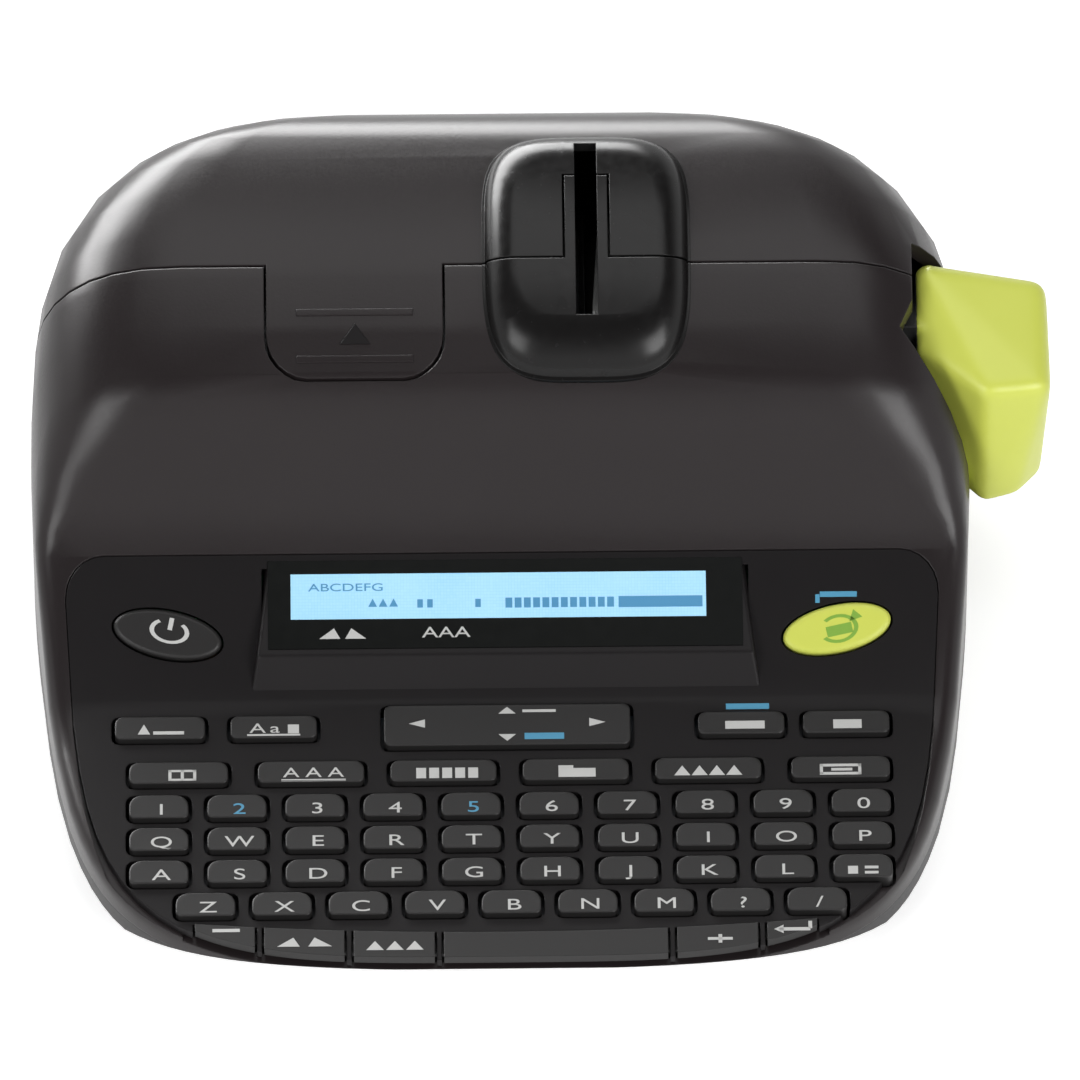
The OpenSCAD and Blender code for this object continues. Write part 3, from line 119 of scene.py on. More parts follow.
def add_mesh(name, shape, material):
    mesh = bpy.data.meshes.new(name)
    shape.to_mesh(mesh)
    shape.free()
    mesh.materials.append(material)
    made = bpy.data.objects.new(name, mesh)
    scene.collection.objects.link(made)
    return made


# white laminate: flat and matt, with a mottle so faint that it only keeps the sheet from looking empty
TABLE_HALF, TABLE_LIFT, MOTTLE_PER_METRE = 0.45, 0.58, 6.0
laminate, tree, place = blank_material("white_laminate_table")
mottle = add_node(tree, "ShaderNodeTexNoise", {"Scale": MOTTLE_PER_METRE, "Detail": 2.0}, {"Vector": place})
tint = add_node(tree, "ShaderNodeMix", {"data_type": "RGBA", 6: linear("#f4f4f4"), 7: linear("#f8f8f8")},
                {0: mottle.outputs[0]})
matte = add_node(tree, "ShaderNodeBsdfDiffuse", None, {"Color": tint.outputs[2]})
lift = add_node(tree, "ShaderNodeMath", {"operation": "MULTIPLY", 1: TABLE_LIFT}, {0: seen_rays(tree)})
white = add_node(tree, "ShaderNodeEmission", None, {"Strength": lift.outputs[0]})
both = add_node(tree, "ShaderNodeAddShader", None, {0: matte.outputs[0], 1: white.outputs[0]})
add_node(tree, "ShaderNodeOutputMaterial", None, {"Surface": both.outputs[0]})
sheet = bmesh.new()
bmesh.ops.create_grid(sheet, x_segments=1, y_segments=1, size=TABLE_HALF)
table_top = add_mesh("table", sheet, laminate)

# name, place, width, height, watts, and whether it lights matt faces; the card behind the set doesn't,
# and is only mirrored in glossy ones
LAMP_AIM = Vector((0, 0, 0.03))
for name, spot, width, height, power, lights_faces in (
        ("softbox_left", (-0.85, -1.05, 0.95), 0.7, 0.7, 9.0, True),
        ("softbox_right", (0.8, -1.05, 0.8), 0.7, 0.7, 12.0, True),
        ("softbox_top", (0.1, 0.25, 1.4), 1.0, 0.7, 4.0, True),
        ("softbox_back", (-0.75, 1.25, 0.65), 1.5, 0.7, 12.0, True),
        ("card_back", (-0.64, 1.18, 0.6), 1.8, 0.8, 68.0, False)):
    lamp = bpy.data.lights.new(name, "AREA")
    lamp.shape, lamp.size, lamp.size_y, lamp.energy = "RECTANGLE", width, height, power
    lamp_object = bpy.data.objects.new(name, lamp)
    lamp_object.location = spot
    lamp_object.visible_diffuse = lights_faces
    lamp_object.rotation_euler = (LAMP_AIM - Vector(spot)).to_track_quat("-Z", "Y").to_euler()
    scene.collection.objects.link(lamp_object)

# Lower case and battery door: the tray that everything is screwed into and the lid that slides under it,
# moulded in black ABS. The tool is spark-eroded, which leaves a fine dull grain and edges broken by a
# fraction of a millimetre. The solids keep their shape, and only their shading is smoothed.
CLOUD_MM, GRAIN_DEPTH_MM, GLOSS_SPREAD, PLASTIC_IOR = 24, 0.05, 0.06, 1.53


def moulded(name, dark, light, rough, grain_mm, depth, edge_mm=0.3, shine=0.5):
    material, tree, place = blank_material(name)
    cloud = add_node(tree, "ShaderNodeTexNoise", {"Scale": 1 / (CLOUD_MM * MM), "Detail": 3.0}, {"Vector": place})
    grain = add_node(tree, "ShaderNodeTexNoise", {"Scale": 1 / (grain_mm * MM), "Detail": 2.0}, {"Vector": place})
    colour = add_node(tree, "ShaderNodeMix", {"data_type": "RGBA", 6: linear(dark), 7: linear(light)},
                      {0: cloud.outputs[0]})
    gloss = add_node(tree, "ShaderNodeMapRange", {"To Min": rough - GLOSS_SPREAD, "To Max": rough + GLOSS_SPREAD},
                     {"Value": grain.outputs[0]})
    edge = add_node(tree, "ShaderNodeBevel", {"samples": 4, "Radius": edge_mm * MM})
    relief = add_node(tree, "ShaderNodeBump", {"Strength": depth, "Distance": GRAIN_DEPTH_MM * MM},
                      {"Height": grain.outputs[0], "Normal": edge.outputs[0]})
    skin = add_node(tree, "ShaderNodeBsdfPrincipled", {"IOR": PLASTIC_IOR, "Specular IOR Level": shine},
                    {"Base Color": colour.outputs[2], "Roughness": gloss.outputs[0], "Normal": relief.outputs[0]})
    add_node(tree, "ShaderNodeOutputMaterial", None, {"Surface": skin.outputs[0]})
    return material


# smooth or sharp edges by their angle, for solids that arrive as loose flat triangles
SOFT_ANGLE, WELD_MM = math.radians(28), 0.004
soft_faces = bpy.data.node_groups.new("soft_faces", "GeometryNodeTree")
soft_faces.interface.new_socket("Geometry", in_out="INPUT", socket_type="NodeSocketGeometry")
soft_faces.interface.new_socket("Geometry", in_out="OUTPUT", socket_type="NodeSocketGeometry")
start = add_node(soft_faces, "NodeGroupInput")
bend = add_node(soft_faces, "GeometryNodeInputMeshEdgeAngle")
gentle = add_node(soft_faces, "FunctionNodeCompare", {"operation": "LESS_THAN", 1: SOFT_ANGLE},
                  {0: bend.outputs[0]})
faces = add_node(soft_faces, "GeometryNodeSetShadeSmooth", {"domain": "FACE"}, {"Geometry": start.outputs[0]})
edges = add_node(soft_faces, "GeometryNodeSetShadeSmooth", {"domain": "EDGE"},
                 {"Geometry": faces.outputs[0], "Shade Smooth": gentle.outputs[0]})
add_node(soft_faces, "NodeGroupOutput", None, {0: edges.outputs[0]})


def shade(piece):
    piece.modifiers.new("soft_faces", "NODES").node_group = soft_faces
    piece.modifiers.new("flat_faces", "WEIGHTED_NORMAL").keep_sharp = True


def dress(material, *names):
    for name in names:
        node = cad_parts[name]
        if not node.material_slots:
            node.data.materials.append(material)
        for slot in node.material_slots:
            slot.material = material
        node.modifiers.new("weld", "WELD").merge_threshold = WELD_MM * MM
        shade(node)


lower_abs = moulded("spark_eroded_black_abs", "#252324", "#2b292a", 0.5, 0.5, 0.25)
dress(lower_abs, "lower_case", "battery_door")

# Feet and platen roller: nitrile rubber, moulded as pads that sit in pockets of the tray's floor, and ground
# as a sleeve on the platen's shaft. It is nearly black, dry to the eye and slightly dusty.
rubber = moulded("nitrile_rubber", "#191818", "#242322", 0.78, 0.35, 0.35, 0.5)
dress(rubber, "feet", "platen_roller")

# Screws, pins, shaft, contacts, blades, chassis and motor can: steel, drawn, ground or folded, and plated
# except for the blades. Drawing and grinding leave fine lines along the work, and zinc a soft spangle instead.
LINE_DEPTH_MM, STEEL_EDGE_MM = 0.02, 0.15


def bright_steel(name, tone, rough, lines_mm, along):
    material, tree, place = blank_material(name)
    turn = add_node(tree, "ShaderNodeMapping", {"Scale": along}, {"Vector": place})
    lines = add_node(tree, "ShaderNodeTexNoise", {"Scale": 1 / (lines_mm * MM), "Detail": 2.0},
                     {"Vector": turn.outputs[0]})
    gloss = add_node(tree, "ShaderNodeMapRange", {"To Min": rough - 0.08, "To Max": rough + 0.1},
                     {"Value": lines.outputs[0]})
    colour = add_node(tree, "ShaderNodeMix", {"data_type": "RGBA", 6: linear(tone), 7: linear("#d9d9d6")},
                      {0: lines.outputs[0]})
    edge = add_node(tree, "ShaderNodeBevel", {"samples": 4, "Radius": STEEL_EDGE_MM * MM})
    relief = add_node(tree, "ShaderNodeBump", {"Strength": 0.12, "Distance": LINE_DEPTH_MM * MM},
                      {"Height": lines.outputs[0], "Normal": edge.outputs[0]})
    skin = add_node(tree, "ShaderNodeBsdfPrincipled", {"Metallic": 1.0},
                    {"Base Color": colour.outputs[2], "Roughness": gloss.outputs[0], "Normal": relief.outputs[0]})
    add_node(tree, "ShaderNodeOutputMaterial", None, {"Surface": skin.outputs[0]})
    return material


nickel = bright_steel("nickel_plated_steel", "#a9aaac", 0.28, 0.4, (1, 1, 0.2))
dress(nickel, "case_screws", "lever_pin", "hinge_pins", "platen_shaft", "battery_contacts")
ground = bright_steel("ground_blade_steel", "#b4b6b8", 0.22, 0.3, (1, 0.1, 1))
dress(ground, "moving_blade", "fixed_blade")
zinc = bright_steel("zinc_plated_sheet", "#8f9294", 0.42, 3.0, (1, 1, 1))
dress(zinc, "chassis_plate", "feed_motor")

# Power inlet and print head: blocks of black glass-filled nylon, which stand up to heat and to a plug.
# The fibres show at the skin and leave it a little rough.
nylon_black = moulded("glass_filled_nylon", "#1b1b1c", "#272728", 0.55, 0.4, 0.3)
dress(nylon_black, "dc_inlet", "print_head")

# Battery cells: steel cans in a printed shrink sleeve, held between the contacts behind the door.
# The sleeve is dark and glossy, with a metallic copper-coloured band at each cell's outer end.
BAND_FROM_MM, SCUFF_MM = 36, 6
sleeve, tree, place = blank_material("printed_shrink_sleeve")
axes = add_node(tree, "ShaderNodeSeparateXYZ", None, {"Vector": place})
away = add_node(tree, "ShaderNodeMath", {"operation": "ADD", 1: -SHIFT.x}, {0: axes.outputs[0]})
outward = add_node(tree, "ShaderNodeMath", {"operation": "ABSOLUTE"}, {0: away.outputs[0]})
band = add_node(tree, "ShaderNodeMath", {"operation": "GREATER_THAN", 1: BAND_FROM_MM * MM},
                {0: outward.outputs[0]})
scuffs = add_node(tree, "ShaderNodeTexNoise", {"Scale": 1 / (SCUFF_MM * MM), "Detail": 3.0}, {"Vector": place})
body = add_node(tree, "ShaderNodeMix", {"data_type": "RGBA", 6: linear("#1d2024"), 7: linear("#2b2f35")},
                {0: scuffs.outputs[0]})
colour = add_node(tree, "ShaderNodeMix", {"data_type": "RGBA", 7: linear("#b87a45")},
                  {0: band.outputs[0], 6: body.outputs[2]})
gloss = add_node(tree, "ShaderNodeMapRange", {"To Min": 0.22, "To Max": 0.36}, {"Value": scuffs.outputs[0]})
skin = add_node(tree, "ShaderNodeBsdfPrincipled", {"IOR": 1.5, "Coat Weight": 0.4},
                {"Base Color": colour.outputs[2], "Roughness": gloss.outputs[0], "Metallic": band.outputs[0]})
add_node(tree, "ShaderNodeOutputMaterial", None, {"Surface": skin.outputs[0]})
dress(sleeve, "battery_cells")

# Gear train and cutter slide: natural acetal, moulded, pressed on shafts or sliding in the chassis.
# It is milky white, slightly waxy and almost without grain.
acetal = moulded("natural_acetal", "#d2cfc3", "#dcdad0", 0.38, 0.8, 0.08, 0.15)
dress(acetal, "platen_gear", "idler_gear", "motor_pinion", "ribbon_gear", "ribbon_spindle", "cutter_slide")

# Main board and display board: glass-epoxy sheets, one under the keys and one under the display.
# Green solder mask lies over copper tracks, which show through as lighter raised lines.
TRACK_MM, TRACK_RISE_MM = 9, 0.04
fr4, tree, place = blank_material("fr4_solder_mask")
tracks = add_node(tree, "ShaderNodeTexBrick",
                  {"Scale": 1 / (TRACK_MM * MM), "Mortar Size": 0.03, "Color1": linear("#1f5a35"),
                   "Color2": linear("#236039"), "Mortar": linear("#3b8a55")}, {"Vector": place})
relief = add_node(tree, "ShaderNodeBump", {"Strength": 0.2, "Distance": TRACK_RISE_MM * MM},
                  {"Height": tracks.outputs["Fac"]})
skin = add_node(tree, "ShaderNodeBsdfPrincipled", {"Roughness": 0.32, "IOR": 1.55},
                {"Base Color": tracks.outputs["Color"], "Normal": relief.outputs[0]})
add_node(tree, "ShaderNodeOutputMaterial", None, {"Surface": skin.outputs[0]})
dress(fr4, "main_board", "display_board")

# Key mat: one sheet of grey silicone that lies on the main board and springs every key back.
# It is soft and matt, with a faint bloom.
silicone = moulded("silicone_rubber", "#4a4a4d", "#535357", 0.7, 0.6, 0.15)
dress(silicone, "key_mat")

# Tape cassette: a pale grey box moulded in polystyrene, which drops in behind the cover.
# It is smooth and a little shiny, with edges rounded for the hand.
polystyrene = moulded("grey_polystyrene", "#a9acaf", "#b6b9bb", 0.35, 1.2, 0.06, 0.6)
dress(polystyrene, "tape_cartridge")

# Upper case and rear cover: the charcoal shells that are held and seen, moulded in the same ABS with a finer
# and shinier grain. A faint broad mottle keeps the large dome from reading as one flat tone.
shell_abs = moulded("spark_eroded_charcoal_abs", "#231e1f", "#292425", 0.31, 0.45, 0.2, shine=0.3)
dress(shell_abs, "upper_case", "rear_cover")

# Front panel: a smoother black ABS plate let into the shell, which carries the keys and the display.
# Its satin face gives back little light, so the keys stand out on it.
panel_abs = moulded("satin_black_abs", "#1b191a", "#201e1f", 0.4, 0.5, 0.12, shine=0.14)
dress(panel_abs, "front_panel")

# Display: a satin black pod moulded in ABS and set into an opening in the panel's slope. It holds an acrylic
# window, printed black from behind except over the display, and a liquid-crystal cell under it, drawn with a
# faint painted glow.
DECK_TILT, SLOPE_TILT = 5.8, 29.8
DECK_RUN, SLOPE_RUN, DECK_Z = 51.2, 20.6, 15
POD_X, POD_BROW_S, POD_RISE, POD_END_GAP = 0.5, 6.9, 2.75, 0.4


def axes_at(x, y, z, tilt):
    return Matrix.Translation(Vector((x, y, z)) * MM + SHIFT) @ Matrix.Rotation(math.radians(tilt), 4, "X")


def raised_by(where, height):
    return where @ Matrix.Translation(Vector((0, 0, height)) * MM)


DECK = axes_at(0, -DECK_RUN - SLOPE_RUN, DECK_Z, DECK_TILT)
SLOPE = axes_at(0, -SLOPE_RUN, DECK_Z + DECK_RUN * math.tan(math.radians(DECK_TILT)), SLOPE_TILT)
SLOPE_LENGTH = SLOPE_RUN / math.cos(math.radians(SLOPE_TILT))
FACE_RUN = SLOPE_LENGTH - POD_END_GAP - POD_BROW_S
FACE_FALL = math.atan(POD_RISE / FACE_RUN)
FACE_LENGTH = FACE_RUN / math.cos(FACE_FALL)
FACE = (SLOPE @ Matrix.Translation(Vector((POD_X, POD_BROW_S, POD_RISE)) * MM)
        @ Matrix.Rotation(-FACE_FALL, 4, "X"))


def finish_piece(name, shape, material, body, replaced=(), wall_mm=0):
    piece = add_mesh(name, shape, material)
    if wall_mm:
        wall = piece.modifiers.new("wall", "SOLIDIFY")
        wall.thickness, wall.offset = wall_mm * MM, -1
    shade(piece)
    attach(piece, body)
    for node in replaced:
        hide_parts(node)
    return piece


def plate(shape, where, x0, x1, y0, y1, z0, z1):
    made = bmesh.ops.create_cube(shape, size=1)["verts"]
    bmesh.ops.scale(shape, vec=Vector((x1 - x0, y1 - y0, z1 - z0)) * MM, verts=made)
    bmesh.ops.translate(shape, vec=Vector((x0 + x1, y0 + y1, z0 + z1)) * MM / 2, verts=made)
    bmesh.ops.transform(shape, matrix=where, verts=made)


def soften(shape, rim, radius, steps):
    bmesh.ops.bevel(shape, geom=rim, offset=radius * MM, segments=steps, profile=0.5, affect="EDGES", material=-1)


FLAT = Matrix.Identity(4)
POD_HALF, POD_FOOT_S, POD_LIP_S, POD_LIP_Z, POD_EDGE_R = 41.5, 0.3, 6.5, 2.7, 0.5
# how far each corner of the block is drawn in and how high it stands, by (upper, behind)
POD_CORNERS = {(False, False): (0, -0.6), (True, False): (1.2, POD_LIP_Z),
               (False, True): (2.6, -1.4), (True, True): (3.4, -0.1)}
pod_abs = moulded("satin_black_abs_pod", "#1f1d1e", "#242223", 0.34, 0.5, 0.08, 0.35, shine=0.15)
pod = bmesh.new()
plate(pod, FLAT, -POD_HALF, POD_HALF, POD_FOOT_S, SLOPE_LENGTH - POD_END_GAP, 0, POD_RISE)
for v in pod.verts:
    upper, behind = v.co.z > MM, v.co.y > SLOPE_LENGTH / 2 * MM
    inset, height = POD_CORNERS[upper, behind]
    v.co.x -= math.copysign(inset * MM, v.co.x)
    v.co.z = height * MM
    if upper and not behind:
        v.co.y = POD_LIP_S * MM
soften(pod, [e for e in pod.edges if max(v.co.z for v in e.verts) > 0], POD_EDGE_R, 4)
bmesh.ops.transform(pod, matrix=SLOPE @ Matrix.Translation((POD_X * MM, 0, 0)), verts=pod.verts)
finish_piece("display_pod", pod, pod_abs, "case", ["display_bezel"])

# the window is four strips round the cell; both lie almost flush with the pod's face
WINDOW_HALF, WINDOW_FRONT, WINDOW_BACK_GAP, PANE_LOW, PANE_TOP, CELL_TOP = 38.5, 0.8, 0.7, -1.2, 0.05, 0.02
CELL_X, CELL_W, CELL_H, CELL_GAP, CELL_BACK_GAP = -1.1, 67.6, 8.0, 0.1, 2.9
CELL_S = FACE_LENGTH - CELL_BACK_GAP - CELL_H
cell_x0, cell_x1 = CELL_X - CELL_W / 2 + CELL_GAP, CELL_X + CELL_W / 2 - CELL_GAP
cell_s0, cell_s1 = CELL_S + CELL_GAP, CELL_S + CELL_H - CELL_GAP
smoked = moulded("black_printed_acrylic", "#0b0d0c", "#0f1110", 0.12, 2.0, 0.02, 0.1, shine=0.06)
window = bmesh.new()
for x0, x1, s0, s1 in ((-WINDOW_HALF, WINDOW_HALF, WINDOW_FRONT, cell_s0),
                       (-WINDOW_HALF, WINDOW_HALF, cell_s1, FACE_LENGTH - WINDOW_BACK_GAP),
                       (-WINDOW_HALF, cell_x0, cell_s0, cell_s1), (cell_x1, WINDOW_HALF, cell_s0, cell_s1)):
    plate(window, FACE, x0, x1, s0, s1, PANE_LOW, PANE_TOP)
finish_piece("display_window_print", window, smoked, "case", ["display_window"])

# the cell's dots stand 0.25 mm apart, and are drawn at 0.5 mm so that they show
DOT_MM, HAZE_MM = 0.5, 14
glow_painted_crystal, tree, place = blank_material("liquid_crystal_painted_glow")
haze = add_node(tree, "ShaderNodeTexNoise", {"Scale": 1 / (HAZE_MM * MM), "Detail": 1.0}, {"Vector": place})
dots = add_node(tree, "ShaderNodeTexBrick",
                {"Scale": 1 / MM, "offset": 0.0, "Mortar Size": 0.02, "Row Height": DOT_MM, "Brick Width": DOT_MM,
                 "Color1": linear("#ffffff"), "Color2": linear("#f8fcff"), "Mortar": linear("#e9f3f9")},
                {"Vector": place})
base = add_node(tree, "ShaderNodeMix", {"data_type": "RGBA", 6: linear("#94d0f0"), 7: linear("#abdff7")},
                {0: haze.outputs[0]})
colour = add_node(tree, "ShaderNodeMix", {"data_type": "RGBA", "blend_type": "MULTIPLY", 0: 1.0},
                  {6: base.outputs[2], 7: dots.outputs["Color"]})
# the cell's faint emission is painted glow, which lifts its pale blue face above what the lamps give it
skin = add_node(tree, "ShaderNodeBsdfPrincipled",
                {"Roughness": 0.25, "IOR": 1.5, "Coat Weight": 0.5, "Emission Strength": 0.3},
                {"Base Color": colour.outputs[2], "Emission Color": colour.outputs[2]})
add_node(tree, "ShaderNodeOutputMaterial", None, {"Surface": skin.outputs[0]})
dress(glow_painted_crystal, "lcd_module")
cell = bmesh.new()
plate(cell, FACE, cell_x0, cell_x1, cell_s0, cell_s1, PANE_LOW, CELL_TOP)
finish_piece("lcd_face", cell, glow_painted_crystal, "case")

# Display and window printing: dark crystal segments on the lit cell, and white captions screen-printed on
# the window below it. All printing is drawn as plates a few hundredths of a millimetre thick.
INK, SIGN_HEIGHT, SIGN_STRETCH, FONT_PER_HEIGHT = 0.05, 1.9, 1.5, 1.38
white_ink = moulded("white_pad_print", "#c8c8c6", "#d6d6d4", 0.5, 1.0, 0.05, 0.02)
blue_ink = moulded("blue_pad_print", "#4a97bd", "#58a8cc", 0.5, 1.0, 0.05, 0.02)
dark_crystal = moulded("dark_crystal", "#4a98ca", "#57a6d6", 0.4, 1.0, 0.05, 0.02)


def baked(maker):
    mesh = bpy.data.meshes.new_from_object(maker.evaluated_get(bpy.context.evaluated_depsgraph_get()))
    bpy.data.objects.remove(maker)
    return mesh


def letters(shape, where, text, x, y, height=SIGN_HEIGHT, stretch=SIGN_STRETCH):
    curve = bpy.data.curves.new("text", "FONT")
    curve.body, curve.size, curve.extrude = text, height * FONT_PER_HEIGHT * MM, INK / 2 * MM
    curve.align_x, curve.align_y = "CENTER", "CENTER"
    maker = bpy.data.objects.new("text", curve)
    scene.collection.objects.link(maker)
    mesh = baked(maker)
    bpy.data.curves.remove(curve)
    first = len(shape.verts)
    shape.from_mesh(mesh)
    bpy.data.meshes.remove(mesh)
    shape.verts.ensure_lookup_table()
    made = shape.verts[first:]
    bmesh.ops.scale(shape, vec=Vector((stretch, 1, 1)), verts=made)
    bmesh.ops.translate(shape, vec=Vector((x, y, INK / 2)) * MM, verts=made)
    bmesh.ops.transform(shape, matrix=where, verts=made)


def bar(shape, where, x, y, w, h):
    plate(shape, where, x - w / 2, x + w / 2, y - h / 2, y + h / 2, 0, INK)


def points_of(made):
    return [v for v in made if isinstance(v, bmesh.types.BMVert)]


def patch(shape, where, outline):
    corners = [shape.verts.new(Vector((x, y, 0)) * MM) for x, y in outline]
    face = shape.faces.new(corners)
    raised = points_of(bmesh.ops.extrude_face_region(shape, geom=[face])["geom"])
    bmesh.ops.translate(shape, vec=Vector((0, 0, INK)) * MM, verts=raised)
    bmesh.ops.recalc_face_normals(shape, faces=list({f for v in corners + raised for f in v.link_faces}))
    bmesh.ops.transform(shape, matrix=where, verts=corners + raised)


# A mark is (letters, x, y), a bar (x, y, width, height) or the three corners of a triangle.
def stamp(shape, where, x, y, marks):
    for mark in marks:
        if isinstance(mark[0], str):
            text, dx, dy = mark
            letters(shape, where, text, x + dx, y + dy)
        elif len(mark) == 4:
            dx, dy, w, h = mark
            bar(shape, where, x + dx, y + dy, w, h)
        else:
            patch(shape, where, [(x + dx, y + dy) for dx, dy in mark])


def peaks(places, half, low, high):
    return [((x - half, low), (x + half, low), (x, high)) for x in places]


segments = bmesh.new()
on_cell = raised_by(FACE, CELL_TOP)
letters(segments, on_cell, "ABCDEFG", -25.8, CELL_S + 5.5, 1.35)
stamp(segments, on_cell, 0, CELL_S, peaks([-21.5 + 1.7 * i for i in range(3)], 0.7, 2.2, 3.6))
stamp(segments, on_cell, 0, CELL_S + 2.7, [(x, 0, 0.9, 1.4) for x in (-13.8, -12.2, -4.4)])
stamp(segments, on_cell, 0, CELL_S + 2.7, [(0.6 + 1.5 * i, 0, 1.1, 1.7) for i in range(12)])
stamp(segments, on_cell, 0, CELL_S + 2.7, [(25.2, 0, 13.6, 1.9)])
finish_piece("lcd_marks", segments, dark_crystal, "case")

captions = bmesh.new()
stamp(captions, raised_by(FACE, PANE_TOP), 0, 0,
      [((-30.2, 2.5), (-26.8, 2.5), (-27.8, 4.3)), ((-26.0, 2.5), (-22.6, 2.5), (-25.0, 4.3)),
       ("AAA", -9.6, 3.4)])
finish_piece("window_captions", captions, white_ink, "case")

# Letter and number keys: black ABS caps, straight in front and arched behind, slightly dished on top.
# Each row of caps is one moulding that stands on the mat, pad-printed in white, with two digits in blue.
key_abs = moulded("matte_key_abs", "#262525", "#2c2b2b", 0.4, 0.4, 0.15, 0.2, shine=0.3)
CAP_LOW, CAP_TOP, DISH, DISH_RIM, CAP_EDGE_R = -2.5, 1.0, 0.06, 0.55, 0.28


def upright(shape):
    return [e for e in shape.edges if abs(e.verts[0].co.z - e.verts[1].co.z) > INK * MM]


def cap(shape, where, x, y, w, d, back_r, front_r):
    own = bmesh.new()
    plate(own, FLAT, -w / 2, w / 2, -d / 2, d / 2, CAP_LOW, CAP_TOP)
    for sign, radius, steps in ((1, back_r, 7), (-1, front_r, 4)):
        soften(own, [e for e in upright(own) if e.verts[0].co.y * sign > 0], radius, steps)
    lid = max(own.faces, key=lambda f: f.calc_center_median().z)
    soften(own, list(lid.edges), CAP_EDGE_R, 3)
    lid = max(own.faces, key=lambda f: (round(f.calc_center_median().z / MM, 3), f.calc_area()))
    bmesh.ops.inset_region(own, faces=[lid], thickness=DISH_RIM * MM, depth=-DISH * MM)
    bmesh.ops.translate(own, vec=Vector((x, y, 0)) * MM, verts=own.verts)
    bmesh.ops.transform(own, matrix=where, verts=own.verts)
    mesh = bpy.data.meshes.new("cap")
    own.to_mesh(mesh)
    own.free()
    shape.from_mesh(mesh)
    bpy.data.meshes.remove(mesh)


LAYOUT_X, PITCH, LOWER_PITCH, LOWER_S, ROW_STEP = 0.9, 12.6, 12.3, 11.3, 6.3
LETTER_CAP_W, LETTER_CAP_D, LETTER_BACK_R, LETTER_FRONT_R = 9.6, 4.45, 2.15, 0.9
LETTER_DX, LETTER_DY, LETTER_HEIGHT, LETTER_STRETCH = 0.4, -0.72, 2.15, 1.55
BLUE_DIGITS, END_KEY_MARKS = "25", [(-1.6, -0.9, 1.6, 1.5), (1.4, -0.4, 2.2, 0.5), (1.4, -1.4, 2.2, 0.5)]
on_caps = raised_by(DECK, CAP_TOP - DISH)
blue_digits = bmesh.new()
# name, letters, keys in the row, steps behind the lower row, pitch
for name, text, count, step, pitch in (
        ("number_row", "1234567890", 10, 3, PITCH), ("upper_letter_row", "QWERTYUIOP", 10, 2, PITCH),
        ("home_letter_row", "ASDFGHJKL", 10, 1, PITCH), ("lower_letter_row", "ZXCVBNM?/", 9, 0, LOWER_PITCH)):
    caps, legend = bmesh.new(), bmesh.new()
    s = LOWER_S + ROW_STEP * step
    for i in range(count):
        x = LAYOUT_X + (i - (count - 1) / 2) * pitch
        cap(caps, DECK, x, s, LETTER_CAP_W, LETTER_CAP_D, LETTER_BACK_R, LETTER_FRONT_R)
        if i < len(text):
            ink = blue_digits if text[i] in BLUE_DIGITS else legend
            letters(ink, on_caps, text[i], x + LETTER_DX, s + LETTER_DY, LETTER_HEIGHT, LETTER_STRETCH)
        else:
            stamp(legend, on_caps, x, s, END_KEY_MARKS)
    finish_piece(name + "_caps", caps, key_abs, name, [name])
    finish_piece(name + "_legends", legend, white_ink, name)
finish_piece("number_row_blue_legends", blue_digits, blue_ink, "number_row")


# Upper and wide keys: ten wider caps of the same black ABS, each a moulding of its own on the mat.
# They carry plain signs, pad-printed in white a little nearer the user than the cap's middle.
def lone_key(name, x, s, size, radii, marks, marks_dy):
    caps, legend = bmesh.new(), bmesh.new()
    cap(caps, DECK, x, s, *size, *radii)
    stamp(legend, on_caps, x, s + marks_dy, marks)
    finish_piece(name + "_cap", caps, key_abs, name, [name])
    finish_piece(name + "_legend", legend, white_ink, name)


UPPER_S = DECK_RUN / math.cos(math.radians(DECK_TILT)) - 6
UPPER_D, UPPER_RADII, UPPER_MARKS_DY = 4.35, (1.4, 1.0), -0.5
for number, (x, w, marks) in enumerate((
        (-55.6, 14.6, [((-3.6, -0.8), (-1.6, -0.8), (-2.6, 1.1)), (1.4, -0.55, 5.0, 0.6)]),
        (-37.2, 14.0, [("A", -2.6, 0.1), ("a", 0.2, 0.1), (3.2, 0, 1.8, 1.7), (0, -1.15, 8.6, 0.4)]),
        (38.5, 14.0, [(0.6, 0, 6.4, 1.5)]), (55.5, 14.0, [(0.2, 0, 4.6, 1.7)])), 1):
    lone_key(f"upper_key_{number}", x, UPPER_S, (w, UPPER_D), UPPER_RADII, marks, UPPER_MARKS_DY)

WIDE_S = LOWER_S + 4 * ROW_STEP + 0.2
WIDE_PITCH, WIDE_D, WIDE_RADII, WIDE_MARKS_DY = 21.4, 4.15, (1.6, 1.0), -0.55
for number, (w, marks) in enumerate((
        (16.0, [(0.6, dy, 4.4, 0.4) for dy in (0.85, -0.85)] + [(dx, 0, 0.5, 2.1) for dx in (-1.4, 0.6, 2.6)]),
        (17.2, [("A", dx, 0.25) for dx in (-3.2, 0.4, 4.0)] + [(0.4, -1.15, 10.4, 0.4)]),
        (17.2, [(-3.6 + 2.1 * i, 0, 1.6, 2.0) for i in range(5)]),
        (17.2, [(0.2, -0.15, 6.0, 1.7), (-1.6, 0.95, 2.4, 0.6)]),
        (17.2, peaks((-4.2, -1.4, 1.4, 4.2), 1.3, -0.9, 1.0)),
        (16.0, [(0, dy, 6.6, 0.5) for dy in (0.8, -0.8)] + [(dx, 0, 0.5, 2.1) for dx in (-3.1, 3.1)]
         + [(0.2, 0, 3.4, 0.5)])), 1):
    x = LAYOUT_X + (number - 3.5) * WIDE_PITCH
    lone_key(f"wide_key_{number}", x, WIDE_S, (w, WIDE_D), WIDE_RADII, marks, WIDE_MARKS_DY)

